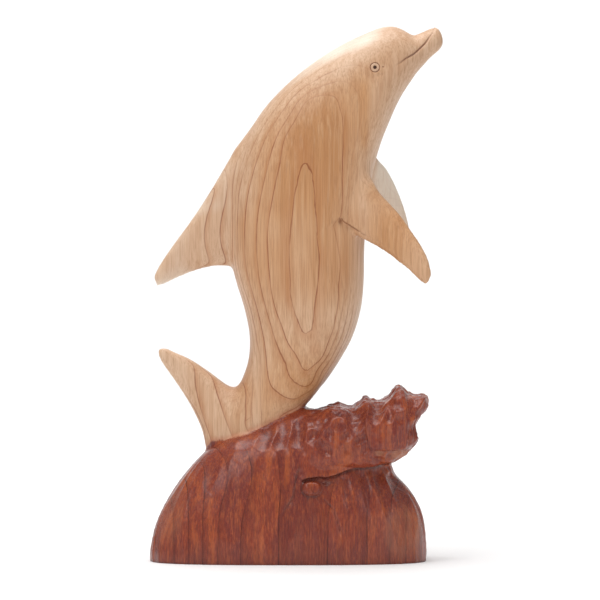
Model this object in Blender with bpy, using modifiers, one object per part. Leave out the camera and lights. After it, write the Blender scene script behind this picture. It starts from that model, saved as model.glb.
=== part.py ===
"""A leaping dolphin and the wave it rises from, carved from one block of wood.

X runs along the block (the dolphin faces +X), Y goes through its thickness and Z is up. The origin
is the middle of the flat underside. The dolphin's shape is given in percent of its own height and
the wave's in percent of the base's length and height, widths in percent of half the block's depth.
"""

import math
import random

import bmesh
import bpy
import numpy as np

# Driving dimensions, in metres
DOLPHIN_HEIGHT = 0.226
BASE_LENGTH = 0.153
BASE_HEIGHT = 0.0726
BLOCK_DEPTH = 0.076

# Depth of the cuts, in metres
MOUTH_DEPTH = 0.0009
MOUTH_WIDTH = 0.0011
EYE_RADIUS = 0.0026
EYE_CUT = 0.0006
GOUGE_DEPTH = 0.0026
FLUTE_DEPTH = 0.0020
GRAIN_DEPTH = 0.0006
INCISION_DEPTH = 0.0006
INCISION_WIDTH = 0.0014

# Fineness of the solid: the grid on which the pieces are fused, and the triangles left at the end
VOXEL = 0.0012
TRIANGLES = 9000

# How far around the mouth and the eyes the mesh is made finer for their cuts, and in how many steps
FACE_REACH = 0.008
FACE_STEPS = 2

# Rounds of softening over the whole skin and at the fins' roots, and what the skin and the fins'
# edges are grown by beforehand to make up for it, in metres
SOFTENING = 6
ROOT_ROUNDS = 45
GROWTH = 0.0003
EDGE_MARGIN = 0.0005

# Squareness of the sections: 2 is an ellipse, more is squarer
FIN_POWER = 2.6
MOUND_POWER = 2.8
CREST_POWER = 2.6
LIP_POWER = 5.0

# How much fuller the body is towards its belly, and a fin towards its front edge
BELLY_FULLNESS = 0.08
FRONT_FULLNESS = 0.25

# Stations along the dolphin, beak to tail: back x, z, belly x, z, half width, squareness
BODY = (
    (37.6, 98.3, 38.1, 96.5, 7, 2.2),
    (36.6, 99.6, 38.0, 95.3, 12, 2.2),
    (35.0, 99.2, 37.0, 94.0, 17, 2.2),
    (32.8, 98.2, 35.0, 92.3, 22, 2.2),
    (30.8, 97.5, 33.1, 90.2, 29, 2.2),
    (29.0, 98.5, 31.5, 88.4, 37, 2.2),
    (26.6, 99.6, 30.0, 86.2, 43, 2.2),
    (23.4, 99.6, 28.2, 83.5, 49, 2.3),
    (19.2, 98.0, 26.5, 80.3, 55, 2.4),
    (13.5, 95.3, 24.6, 75.9, 62, 2.5),
    (6.1, 90.7, 22.6, 70.8, 67, 2.6),
    (-1.4, 84.4, 21.1, 65.2, 71, 2.6),
    (-7.0, 78.0, 19.9, 58.7, 73, 2.4),
    (-11.2, 70.1, 19.0, 51.6, 74, 2.3),
    (-13.7, 61.4, 18.6, 44.1, 74, 2.2),
    (-14.7, 52.5, 18.5, 37.2, 74, 2.2),
    (-14.6, 44.6, 17.8, 30.3, 73, 2.2),
    (-12.9, 37.2, 15.8, 23.5, 72, 2.3),
    (-10.8, 30.3, 12.7, 17.7, 69, 2.4),
    (-9.5, 23.6, 9.1, 12.3, 64, 2.5),
    (-9.9, 16.9, 5.0, 7.2, 57, 2.6),
    (-12.4, 10.6, 0.4, 2.6, 50, 2.6),
    (-15.5, 4.6, -4.6, -2.3, 45, 2.6),
)

# Stations from root to tip of the back fin and the fluke: front x, z, rear x, z, half thickness
BACK_FIN = (
    (-0.9, 74.3, -6.6, 41.7, 8.8),
    (-6.6, 76.8, -12.0, 40.7, 5.5),
    (-11.0, 72.6, -15.5, 41.0, 3.8),
    (-15.3, 65.5, -18.7, 40.9, 2.8),
    (-19.8, 58.0, -21.9, 40.2, 2.2),
    (-24.4, 51.1, -25.1, 39.1, 1.8),
    (-28.7, 45.2, -28.3, 37.7, 1.5),
    (-31.9, 40.3, -30.9, 36.5, 1.2),
    (-33.1, 37.9, -32.6, 36.0, 1),
)
FLUKE = (
    (-5.1, 8.0, -14.0, -9.3, 7.5),
    (-9.5, 9.0, -16.9, -7.5, 6.9),
    (-13.2, 10.0, -19.7, -5.3, 5.8),
    (-16.4, 11.8, -21.1, 0.1, 4.4),
    (-20.4, 14.7, -23.4, 5.3, 3.1),
    (-24.4, 17.3, -26.1, 9.8, 2.2),
    (-28.1, 19.0, -29.0, 14.0, 1.5),
    (-31.0, 20.1, -31.5, 17.7, 1.1),
    (-32.1, 19.9, -32.1, 19.2, 0.8),
)

# Stations of the two flippers: front x, z, rear x, z, side steps of both edges, half thickness
NEAR_FLIPPER = (
    (13.7, 74.8, 8.3, 54.0, -30, -45, 3.1),
    (16.9, 69.8, 11.2, 52.1, -38, -45, 2.7),
    (19.4, 64.9, 14.0, 50.3, -42, -48, 2.3),
    (21.6, 59.3, 17.2, 48.2, -48, -53, 2.1),
    (24.1, 56.3, 20.2, 46.6, -54, -58, 1.9),
    (27.0, 53.1, 23.8, 44.4, -62, -65, 1.6),
    (29.9, 48.9, 27.3, 41.7, -71, -73, 1.4),
    (32.4, 45.1, 30.4, 39.0, -79, -80, 1.2),
    (34.1, 41.3, 32.4, 37.0, -85, -85, 1.1),
    (34.7, 38.4, 33.7, 36.2, -88, -88, 0.8),
)
FAR_FLIPPER = (
    (13.7, 77.3, 8.3, 59.5, 26, 45, 3.1),
    (17.2, 73.3, 11.2, 56.3, 34, 47, 2.7),
    (19.9, 69.8, 14.5, 54.5, 42, 52, 2.3),
    (22.4, 67.4, 17.7, 52.8, 52, 60, 2.1),
    (24.6, 64.2, 20.9, 50.6, 61, 67, 1.9),
    (26.8, 60.0, 23.9, 48.1, 70, 74, 1.6),
    (28.6, 55.5, 26.6, 45.9, 79, 81, 1.4),
    (29.8, 51.3, 28.6, 44.1, 86, 87, 1.2),
    (30.5, 47.6, 29.8, 43.0, 90, 90, 1.1),
    (30.9, 44.6, 30.4, 42.7, 92, 92, 0.8),
)

# Levels of the mound, from below the ground up: z, left x, right x, half depth
MOUND = (
    (-8, -49.6, 49.6, 99),
    (4.5, -50.5, 50.2, 100),
    (15, -49.8, 50.1, 100),
    (28, -48.3, 49.5, 99),
    (38, -46.3, 48.4, 98),
    (48, -43.8, 46.2, 96),
    (57, -41.1, 43.2, 94),
    (66, -38.0, 39.0, 91),
    (75, -34.4, 37.0, 88),
    (84, -30.1, 35.3, 85),
    (91, -25.3, 33.8, 80),
    (97, -19.5, 31.5, 74),
    (104, -11.2, 28.5, 66),
    (111, -4.6, 25.0, 55),
    (117, 1.0, 20.0, 40),
)

# Stations of the wave's crest from left to right: x, top z, lower edge z, half depth
CREST = (
    (0.5, 112.0, 62.7, 53),
    (4.9, 114.6, 61.9, 79),
    (8.6, 115.4, 65.7, 89),
    (11.9, 117.5, 66.8, 93),
    (15.1, 120.8, 68.7, 95),
    (18.1, 122.0, 70.6, 96),
    (23.2, 119.4, 71.8, 96),
    (25.4, 122.3, 72.0, 96),
    (28.3, 126.6, 72.0, 95),
    (30.8, 124.1, 72.4, 93),
    (34.9, 125.3, 75.0, 91),
    (37.0, 128.6, 75.8, 88),
    (38.5, 133.4, 77.2, 87),
    (40.3, 136.4, 79.4, 84),
    (42.2, 133.9, 81.6, 82),
    (44.0, 129.8, 85.0, 76),
    (46.0, 128.4, 89.0, 71),
    (47.1, 128.1, 91.7, 66),
    (47.8, 128.5, 110.2, 61),
    (49.7, 128.4, 114.0, 52),
    (51.2, 125.0, 118.6, 34),
)

# The face, in percent of the dolphin's height
MOUTH = (
    (35.9, 99.8), (35.6, 98.1), (34.5, 96.7), (33.6, 95.4), (32.3, 94.1),
    (30.8, 92.7), (29.0, 91.7), (27.5, 90.5), (26.2, 89.6), (24.4, 88.8),
)
EYE = (21.2, 89.3)

# Where fins grow smoothly out of the body: x, z and reach of the blend
ROOTS = (
    (18.6, 66.0, 6.5),
    (-12.5, 74.0, 5.0),
    (-11.5, 8.5, 8.5),
)

# The small curl of water under the lip: its middle and its half sizes, in percent of the base, and
# its height in metres
CURL_PLACE = (8.5, 58.0)
CURL_SIZE = (3.4, 5.6)
CURL_HEIGHT = 0.0018

# Number of upright tool marks round the mound
TOOL_MARKS = 24

# Distance between the scattered gouge cuts, in percent of the base's length
GOUGE_PITCH = 6.2

# Short flutes on the shoulder: the first one's place, the step to the next, the first one's lean
# in degrees and what each next one adds to it, half their length and width in percent of the
# base's length, and their share of the flutes' depth
SHOULDER_FLUTES = 5
SHOULDER_START = (-13.9, 94.6)
SHOULDER_STEP = (5.8, 1.7)
SHOULDER_LEAN = (52, 9)
SHOULDER_SIZE = (7.4, 3.1)
SHOULDER_SHARE = 0.85

# The hollow across the end of the crest: its level, half height, side step and half width
HOLLOW_LEVEL = 103
HOLLOW_HEIGHT = 8.5
HOLLOW_SIDE = -20
HOLLOW_WIDTH = 84

# Long upright flutes on the front of the mound, in percent of the base's length and height:
# upper end x, z, lower end x, z, half width and share of the flutes' depth
FLUTES = (
    (-25.5, 87, -32.5, 36, 3.4, 0.50),
    (-18.5, 84, -21.8, 16, 3.2, 0.28),
    (-9.5, 86, -11.5, 18, 3.6, 0.35),
    (-1.5, 84, -5.0, 16, 3.2, 0.28),
    (20.5, 70, 23.0, 30, 3.0, 0.35),
    (26.8, 73, 31.5, 22, 3.0, 0.45),
    (32.3, 74, 38.0, 26, 2.8, 0.65),
    (37.8, 72, 44.0, 32, 3.2, 1.00),
)

# Gouge cuts on the front of the crest, in percent of the base's length and height, then the
# half length and half width in percent of the length, the slope in degrees and the share of depth
GOUGES = (
    (39.6, 120.6, 4.0, 2.3, -6, 0.62),
    (36.2, 112.4, 3.8, 2.5, 60, 0.66),
    (39.6, 110.4, 2.8, 1.9, -45, 0.50),
    (31.9, 117.2, 6.0, 3.5, 72, 0.85),
    (23.9, 108.5, 7.4, 4.0, 68, 0.95),
    (18.1, 114.8, 3.0, 1.0, -14, 0.80),
    (19.0, 104.6, 4.4, 3.1, -24, 0.75),
    (12.6, 108.5, 5.6, 2.9, 66, 0.55),
    (14.6, 98.8, 3.6, 2.5, 70, 0.70),
    (21.0, 98.0, 3.6, 2.4, 55, 0.72),
    (26.2, 94.6, 3.6, 2.2, 35, 0.66),
    (8.6, 98.4, 3.8, 2.4, 40, 0.50),
    (12.8, 88.0, 4.8, 3.2, -50, 0.95),
    (20.5, 86.5, 5.0, 3.0, 12, 0.30),
    (44.6, 117.0, 5.0, 2.6, 80, 0.45),
    (38.2, 82.6, 4.2, 2.0, 12, 0.60),
    (42.8, 83.8, 2.8, 1.8, 20, 0.45),
    (33.0, 84.2, 2.8, 1.6, 5, 0.45),
    (32.3, 78.8, 2.9, 2.1, 10, 0.60),
    (13.6, 62.6, 2.2, 1.2, 8, 0.42),
)

# Edges beside which the face of the wave falls back on the left-hand side as one follows them, in
# percent of the base: the lip of the crest from right to left, the step across the crest's end,
# the upright edge of the end and the fold beside the curl
LIP = (
    (44.0, 82.7), (37.6, 76.4), (34.5, 75.8), (31.3, 73.3), (27.5, 72.8), (24.3, 72.8), (20.6, 70.9),
    (17.2, 68.0), (13.7, 66.2), (10.8, 66.6), (6.7, 65.4), (4.9, 64.0), (4.4, 60.5),
)
STEP = ((45.2, 86.2), (39.0, 86.6), (33.5, 86.6), (28.2, 88.0))
END_EDGE = ((30.6, 86.0), (29.2, 91.4), (28.1, 98.6), (27.6, 109.9), (29.2, 126.0))
FOLD = ((3.8, 75.1), (2.5, 64.9), (1.7, 52.1), (0.4, 47.6), (-1.6, 41.5), (-3.2, 33.0))

# Each edge, how deep the face falls back and how far that reaches, in metres, and where the edge
# starts to fade out, as a share of its length
LEDGES = (
    (LIP, 0.0022, 0.0070, 0.85),
    (STEP, 0.0012, 0.0060, 0.90),
    (END_EDGE, 0.0016, 0.0080, 0.80),
    (FOLD, 0.0009, 0.0035, 0.55),
)

# Width of the slope from the edge down to the face, in metres
LEDGE_WIDTH = 0.0012


def figure(x, z):
    """A place on the dolphin, as metres in the XZ plane."""
    return x * DOLPHIN_HEIGHT / 100, BASE_HEIGHT + z * DOLPHIN_HEIGHT / 100


def base(x, z):
    """A place on the wave, as metres in the XZ plane."""
    return x * BASE_LENGTH / 100, z * BASE_HEIGHT / 100


def depth(share):
    """A step through the block's thickness, in metres."""
    return share * BLOCK_DEPTH / 200


def smooth_rows(rows, count):
    """The rows of a table read at count even steps along a smooth curve through them."""
    rows = np.array(rows, dtype=float)
    steps = np.linalg.norm(np.diff(rows, axis=0), axis=1)
    places = np.concatenate(([0], np.cumsum(steps)))
    slopes = np.gradient(rows, places, axis=0)
    reads = np.linspace(0, places[-1], count)
    index = np.clip(np.searchsorted(places, reads, side="right") - 1, 0, len(rows) - 2)
    span = places[index + 1] - places[index]
    t = ((reads - places[index]) / span)[:, None]
    span = span[:, None]
    start = rows[index] * (2 * t**3 - 3 * t**2 + 1) + slopes[index] * span * (t**3 - 2 * t**2 + t)
    end = rows[index + 1] * (3 * t**2 - 2 * t**3) + slopes[index + 1] * span * (t**3 - t**2)
    return start + end


def oval(sides, power):
    """Cosines and sines of a ring of points, squared up by the power (2 is an ellipse)."""
    ring = []
    for step in range(sides):
        angle = 2 * math.pi * (step + 0.5) / sides
        pair = []
        for value in (math.cos(angle), math.sin(angle)):
            pair.append(math.copysign(abs(value) ** (2 / power), value))
        ring.append(pair)
    return ring


def skin(name, rings):
    """A closed object over rings of points, with a face across each end."""
    mesh = bmesh.new()
    rows = []
    for ring in rings:
        rows.append([mesh.verts.new(point) for point in ring])
    for one, two in zip(rows, rows[1:]):
        for index in range(len(one)):
            after = (index + 1) % len(one)
            mesh.faces.new((one[index], one[after], two[after], two[index]))
    mesh.faces.new(rows[0])
    mesh.faces.new(rows[-1])
    bmesh.ops.recalc_face_normals(mesh, faces=mesh.faces)
    data = bpy.data.meshes.new(name)
    mesh.to_mesh(data)
    mesh.free()
    return bpy.data.objects.new(name, data)


def dolphin_body():
    """The body from beak to tail, widest a little below the middle of its side."""
    rings = []
    for back_x, back_z, belly_x, belly_z, width, power in smooth_rows(BODY, 120):
        back = np.array(figure(back_x, back_z))
        belly = np.array(figure(belly_x, belly_z))
        middle = (back + belly) / 2
        reach = (back - belly) / 2
        ring = []
        for along, across in oval(48, power):
            x, z = middle + reach * along
            y = depth(width) * across * (1 - BELLY_FULLNESS * along)
            ring.append((x, y, z))
        rings.append(ring)
    return skin("body", rings)


def blade(name, stations):
    """A fin of lens section, fullest near its front edge; a flipper's edges also step sideways."""
    rings = []
    for row in smooth_rows(stations, 60):
        front = np.array(figure(row[0], row[1]))
        rear = np.array(figure(row[2], row[3]))
        front_side, rear_side = (depth(row[4]), depth(row[5])) if len(row) == 7 else (0, 0)
        thick = row[-1] * DOLPHIN_HEIGHT / 100
        middle = (front + rear) / 2
        reach = (front - rear) / 2
        reach *= 1 + EDGE_MARGIN / np.linalg.norm(reach)
        ring = []
        for along, across in oval(36, FIN_POWER):
            x, z = middle + reach * along
            side = front_side * (1 + along) / 2 + rear_side * (1 - along) / 2
            ring.append((x, side + thick * across * (1 + FRONT_FULLNESS * along), z))
        rings.append(ring)
    return skin(name, rings)


def mound():
    """The body of the wave: level slices with rounded ends, one above the other."""
    rings = []
    for level, left, right, width in smooth_rows(MOUND, 60):
        left_x, z = base(left, level)
        right_x = base(right, level)[0]
        middle = (left_x + right_x) / 2
        reach = (right_x - left_x) / 2
        ring = []
        for along, across in oval(72, MOUND_POWER):
            ring.append((middle + reach * along, depth(width) * across, z))
        rings.append(ring)
    return skin("mound", rings)


def crest():
    """The curling top of the wave: upright slices, rounded above and square at the lower lip."""
    rings = []
    for place, top, low, width in smooth_rows(CREST, 120):
        x, top_z = base(place, top)
        low_z = base(place, low)[1]
        middle = (top_z + low_z) / 2
        reach = (top_z - low_z) / 2
        ring = []
        upper = oval(64, CREST_POWER)
        lower = oval(64, LIP_POWER)
        for (up, across), (down, square) in zip(upper, lower):
            if up > 0:
                ring.append((x, depth(width) * across, middle + reach * up))
            else:
                ring.append((x, depth(width) * square, middle + reach * down))
        rings.append(ring)
    return skin("crest", rings)


def evaluated(piece):
    """The mesh of an object with its modifiers applied; the object itself is removed."""
    graph = bpy.context.evaluated_depsgraph_get()
    data = bpy.data.meshes.new_from_object(piece.evaluated_get(graph), depsgraph=graph)
    bpy.data.objects.remove(piece)
    return data


def fuse(pieces, voxel, smoothing):
    """One skin around all the pieces, softened where they meet."""
    whole = bmesh.new()
    for piece in pieces:
        whole.from_mesh(piece.data)
        bpy.data.objects.remove(piece)
    data = bpy.data.meshes.new("block")
    whole.to_mesh(data)
    whole.free()
    block = bpy.data.objects.new("block", data)
    bpy.context.scene.collection.objects.link(block)
    remesh = block.modifiers.new("One skin", "REMESH")
    remesh.mode = "VOXEL"
    remesh.voxel_size = voxel
    soften = block.modifiers.new("Soften", "SMOOTH")
    soften.factor = 0.5
    soften.iterations = smoothing
    return evaluated(block)


def read(mesh):
    """The points of a mesh and the directions that face outwards there."""
    points = np.empty(len(mesh.vertices) * 3)
    outward = np.empty(len(mesh.vertices) * 3)
    mesh.vertices.foreach_get("co", points)
    mesh.vertices.foreach_get("normal", outward)
    return points.reshape(-1, 3), outward.reshape(-1, 3)


def write(mesh, points):
    """Move a mesh to new points."""
    mesh.vertices.foreach_set("co", points.ravel())
    mesh.update()


def blend_roots(mesh):
    """Grow the skin by what softening took off, and draw the fins' roots smoothly into the body."""
    points, outward = read(mesh)
    points += outward * GROWTH
    edges = np.empty(len(mesh.edges) * 2, dtype=int)
    mesh.edges.foreach_get("vertices", edges)
    one, two = edges.reshape(-1, 2).T
    count = np.bincount(edges, minlength=len(points))[:, None]
    weight = np.zeros(len(points))
    for x, z, reach in ROOTS:
        gap = np.linalg.norm(points[:, [0, 2]] - figure(x, z), axis=1) / (reach * DOLPHIN_HEIGHT / 100)
        weight = np.maximum(weight, 1 - rise(gap, 0.4, 1.0))
    moving = np.flatnonzero(weight > 0)
    weight = weight[moving, None]
    for _ in range(ROOT_ROUNDS):
        total = np.zeros_like(points)
        np.add.at(total, one, points[two])
        np.add.at(total, two, points[one])
        middle = total[moving] / count[moving]
        points[moving] += 0.6 * weight * (middle - points[moving])
    write(mesh, points)


def line_distance(points, line):
    """Each point's distance from a bent line, minus on its right, and how far along it is nearest."""
    best = np.full(len(points), 1e9)
    place = np.zeros(len(points))
    line = np.array(line)
    for index in range(len(line) - 1):
        start = line[index]
        run = line[index + 1] - start
        offset = points - start
        share = np.clip(offset @ run / (run @ run), 0, 1)
        gap = np.linalg.norm(offset - share[:, None] * run, axis=1)
        on_right = run[0] * offset[:, 1] < run[1] * offset[:, 0]
        closer = gap < np.abs(best)
        best[closer] = np.where(on_right, -gap, gap)[closer]
        place[closer] = (index + share[closer]) / (len(line) - 1)
    return best, place


def bump(value):
    """A smooth hill, 1 at zero and nearly 0 at one."""
    return np.exp(-3 * value**2)


def rise(value, low, high):
    """0 below low, 1 above high and smooth between."""
    t = np.clip((value - low) / (high - low), 0, 1)
    return t * t * (3 - 2 * t)


def mouth_cut(points):
    """Depth of the line of the mouth, fading out at its corner."""
    line = [figure(x, z) for x, z in MOUTH]
    gap, place = line_distance(points[:, [0, 2]], line)
    return MOUTH_DEPTH * bump(gap / MOUTH_WIDTH) * (1 - 0.75 * rise(place, 0.7, 1.0))


def eye_cut(points):
    """A ring around each eye with the pupil punched in, and the corner of the eye."""
    gap = np.linalg.norm(points[:, [0, 2]] - figure(*EYE), axis=1)
    ring = bump((gap - EYE_RADIUS) / (0.32 * EYE_RADIUS))
    pupil = 0.9 * bump(gap / (0.36 * EYE_RADIUS))
    corner = np.linalg.norm(points[:, [0, 2]] - figure(EYE[0] + 2.0, EYE[1] + 0.1), axis=1)
    return EYE_CUT * (ring + pupil + 0.8 * bump(corner / (0.4 * EYE_RADIUS)))


def gouge_cut(points, outward):
    """Scoops on the front of the crest; where two meet, a sharp ridge is left between them."""
    result = np.zeros(len(points))
    front = rise(-outward[:, 1], 0.05, 0.35)
    for x, z, length, width, slope, share in GOUGES:
        offset = points[:, [0, 2]] - base(x, z)
        angle = math.radians(slope)
        along = offset @ np.array((math.cos(angle), math.sin(angle)))
        across = offset @ np.array((-math.sin(angle), math.cos(angle)))
        size = BASE_LENGTH / 100
        form = 1 - (along / (length * size)) ** 2 - (across / (width * size)) ** 2
        result = np.maximum(result, GOUGE_DEPTH * share * form * front)
    return result


def end_hollow(points, outward):
    """A hollow across the end of the crest, above its lower corner."""
    up = (points[:, 2] - base(0, HOLLOW_LEVEL)[1]) / base(0, HOLLOW_HEIGHT)[1]
    aside = (points[:, 1] - depth(HOLLOW_SIDE)) / depth(HOLLOW_WIDTH)
    form = np.clip(1 - up**2 - aside**2, 0, 1)
    at_end = rise(points[:, 0], base(43, 0)[0], base(45, 0)[0]) * rise(outward[:, 0], 0.2, 0.6)
    return GOUGE_DEPTH * form * at_end


def scatter(across, upward, columns, rows, seed):
    """Depth of scoops in uneven rows over a surface laid out flat."""
    dice = random.Random(seed)
    pitch = GOUGE_PITCH * BASE_LENGTH / 100
    result = np.zeros(len(across))
    for row in rows:
        for column in columns:
            middle = (column + 0.5 * (row % 2) + dice.uniform(-0.2, 0.2)) * pitch
            level = (row + dice.uniform(-0.2, 0.2)) * pitch * 0.85
            length = pitch * dice.uniform(0.65, 1.1)
            width = pitch * dice.uniform(0.5, 0.7)
            turn = dice.uniform(0.6, 1.9)
            share = dice.uniform(0.3, 0.65)
            x = across - middle
            z = upward - level
            along = x * math.cos(turn) + z * math.sin(turn)
            beside = z * math.cos(turn) - x * math.sin(turn)
            form = 1 - (along / length) ** 2 - (beside / width) ** 2
            result = np.maximum(result, GOUGE_DEPTH * share * form)
    return result


def scattered_gouges(points, outward):
    """Scoops over the top, back and end of the crest."""
    middle_z = base(0, 98)[1]
    angle = np.arctan2(points[:, 1], points[:, 2] - middle_z)
    around = angle * depth(92)
    wrapped = scatter(points[:, 0], around, range(-1, 12), range(-6, 12), 4)
    wrapped *= rise(outward[:, 1], -0.35, 0.0)
    end = scatter(points[:, 1], points[:, 2] - middle_z, range(-5, 6), range(-3, 4), 9)
    facing_end = rise(outward[:, 0], 0.55, 0.75)
    clear_of_tail = points[:, 0] - base(4.2, 0)[0] - 0.7 * (points[:, 2] - base(0, 116)[1])
    on_crest = rise(clear_of_tail, 0, 0.05 * BASE_LENGTH)
    on_crest *= rise(points[:, 2], base(0, 76)[1], base(0, 84)[1])
    return (wrapped * (1 - facing_end) + end * facing_end) * on_crest


def shoulder_flutes(points, outward):
    """Short flutes side by side on the shoulder, below the edge of the stain."""
    result = np.zeros(len(points))
    length, width = np.array(SHOULDER_SIZE) * BASE_LENGTH / 100
    for index in range(SHOULDER_FLUTES):
        lean = math.radians(SHOULDER_LEAN[0] + index * SHOULDER_LEAN[1])
        place = np.array(SHOULDER_START) + index * np.array(SHOULDER_STEP)
        offset = points[:, [0, 2]] - base(*place)
        along = offset @ np.array((math.cos(lean), math.sin(lean)))
        across = offset @ np.array((-math.sin(lean), math.cos(lean)))
        form = (1 - (across / width) ** 2) * (1 - rise(np.abs(along) / length, 0.25, 1.0))
        result = np.maximum(result, FLUTE_DEPTH * SHOULDER_SHARE * form)
    return result * rise(-outward[:, 1], 0.0, 0.3)


def long_flutes(points, outward):
    """Long upright flutes down the front of the mound, shallower towards their ends."""
    result = np.zeros(len(points))
    for top_x, top_z, foot_x, foot_z, width, share in FLUTES:
        gap, place = line_distance(points[:, [0, 2]], (base(top_x, top_z), base(foot_x, foot_z)))
        form = 1 - (gap / (width / 100 * BASE_LENGTH)) ** 2
        fade = rise(place, 0.0, 0.12) * (1 - rise(place, 0.35, 1.0))
        result = np.maximum(result, FLUTE_DEPTH * share * form * fade)
    return result * rise(-outward[:, 1], 0.0, 0.3)


def mound_flutes(points, outward):
    """Shallow upright tool marks all round the mound."""
    around = np.arctan2(points[:, 1], points[:, 0] * 0.6)
    level = points[:, 2] / BASE_HEIGHT
    wander = 0.35 * np.sin(5 * around + 1.0) + 0.25 * np.sin(11 * around + 6 * level)
    turn = np.mod(around * TOOL_MARKS / (2 * math.pi) + wander, 1.0)
    form = 1 - (2 * turn - 1) ** 2
    low = 1 - rise(points[:, 2], base(0, 84)[1], base(0, 98)[1])
    upright = 1 - rise(np.abs(outward[:, 2]), 0.5, 0.8)
    return GRAIN_DEPTH * form * low * upright


def ledges(points, outward):
    """How far the face falls back beside the edges."""
    result = np.zeros(len(points))
    for line, height, reach, tail in LEDGES:
        gap, place = line_distance(points[:, [0, 2]], [base(x, z) for x, z in line])
        under = rise(gap, -LEDGE_WIDTH / 2, LEDGE_WIDTH / 2) * np.exp(-np.abs(gap) / reach)
        fade = rise(place, 0.0, 0.1) * (1 - rise(place, tail, 1.0))
        result = np.maximum(result, height * under * fade)
    return result * rise(-outward[:, 1], 0.1, 0.5)


def curl(points, outward):
    """Height of the small curl of water under the lip: flat, with rounded corners."""
    offset = (points[:, [0, 2]] - base(*CURL_PLACE)) / base(*CURL_SIZE)
    form = (offset**4).sum(axis=1) ** 0.25
    return CURL_HEIGHT * (1 - rise(form, 0.7, 1.1)) * rise(-outward[:, 1], 0.1, 0.5)


def incision(points, outward):
    """The thin cut that runs down from the curl."""
    line = [base(*place) for place in ((11.4, 52.3), (16.2, 42.3), (19.1, 25.0), (20.2, 16.2))]
    gap, place = line_distance(points[:, [0, 2]], line)
    fade = rise(place, 0.0, 0.2) * (1 - rise(place, 0.6, 1.0))
    return INCISION_DEPTH * bump(gap / INCISION_WIDTH) * fade * rise(-outward[:, 1], 0.2, 0.5)


def refine(mesh, places, reach, cuts):
    """Smaller faces around the given places, so that fine cuts come out clean."""
    form = bmesh.new()
    form.from_mesh(mesh)
    points = np.array([vert.co[:] for vert in form.verts])
    near = np.zeros(len(points), dtype=bool)
    for place in places:
        near |= np.linalg.norm(points[:, [0, 2]] - place, axis=1) < reach
    form.verts.index_update()
    edges = [edge for edge in form.edges if near[edge.verts[0].index] and near[edge.verts[1].index]]
    bmesh.ops.subdivide_edges(form, edges=edges, cuts=cuts, use_grid_fill=True)
    bmesh.ops.triangulate(form, faces=[face for face in form.faces if len(face.verts) > 4])
    form.to_mesh(mesh)
    form.free()


def carve(mesh):
    """Move each point of the skin inwards by the depth of the cuts there."""
    points, outward = read(mesh)
    cut = mouth_cut(points) + eye_cut(points)
    cut += np.maximum(gouge_cut(points, outward), scattered_gouges(points, outward))
    cut += end_hollow(points, outward)
    cut += np.maximum(shoulder_flutes(points, outward), long_flutes(points, outward))
    cut = np.maximum(cut, mound_flutes(points, outward))
    cut += ledges(points, outward) + incision(points, outward) - curl(points, outward)
    write(mesh, points - outward * cut[:, None])


def simplify(mesh, triangles):
    """Fewer, larger faces where the form is plain."""
    piece = bpy.data.objects.new("fine", mesh)
    bpy.context.scene.collection.objects.link(piece)
    mesh.calc_loop_triangles()
    fewer = piece.modifiers.new("Fewer faces", "DECIMATE")
    fewer.ratio = triangles / len(mesh.loop_triangles)
    fewer.use_collapse_triangulate = True
    return evaluated(piece)


def flat_underside(mesh):
    """Cut the block off at the ground and close it with one flat face."""
    form = bmesh.new()
    form.from_mesh(mesh)
    for vert in form.verts:
        if abs(vert.co.z) < VOXEL / 3:
            vert.co.z = 0
    everything = form.verts[:] + form.edges[:] + form.faces[:]
    ground = {"plane_co": (0, 0, 0), "plane_no": (0, 0, 1)}
    bmesh.ops.bisect_plane(form, geom=everything, clear_inner=True, **ground)
    rim = [edge for edge in form.edges if edge.is_boundary]
    bmesh.ops.contextual_create(form, geom=rim)
    bmesh.ops.recalc_face_normals(form, faces=form.faces)
    form.to_mesh(mesh)
    form.free()


def wood():
    """Pale wood, oiled."""
    material = bpy.data.materials.new("Carved wood")
    material.use_nodes = True
    shader = material.node_tree.nodes["Principled BSDF"]
    shader.inputs["Base Color"].default_value = (0.60, 0.38, 0.21, 1)
    shader.inputs["Roughness"].default_value = 0.5
    shader.inputs["Metallic"].default_value = 0
    return material


def main():
    for item in list(bpy.data.objects):
        bpy.data.objects.remove(item, do_unlink=True)
    collection = bpy.data.collections.new("Dolphin sculpture")
    bpy.context.scene.collection.children.link(collection)
    pieces = [dolphin_body(), blade("back fin", BACK_FIN), blade("fluke", FLUKE)]
    pieces += [blade("near flipper", NEAR_FLIPPER), blade("far flipper", FAR_FLIPPER)]
    pieces += [mound(), crest()]
    mesh = fuse(pieces, VOXEL, SOFTENING)
    blend_roots(mesh)
    face = [figure(x, z) for x, z in MOUTH] + [figure(*EYE)]
    refine(mesh, face, FACE_REACH, FACE_STEPS)
    carve(mesh)
    mesh = simplify(mesh, TRIANGLES)
    flat_underside(mesh)
    mesh.name = "dolphin_on_wave"
    mesh.materials.clear()
    mesh.materials.append(wood())
    mesh.shade_smooth()
    mesh.set_sharp_from_angle(angle=math.radians(50))
    collection.objects.link(bpy.data.objects.new("dolphin_on_wave", mesh))


main()
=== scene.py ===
"""A leaping dolphin on its wave, carved from one block of wood: fine mesh, wood, camera and lights.

X runs along the block (the dolphin faces +X), Y goes through its thickness and Z is up. The origin
is the middle of the flat underside. The dolphin's shape is given in percent of its own height and
the wave's in percent of the base's length and height, widths in percent of half the block's depth.
"""

import math
import random

import bmesh
import bpy
import numpy as np
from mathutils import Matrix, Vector
from mathutils.kdtree import KDTree


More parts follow.
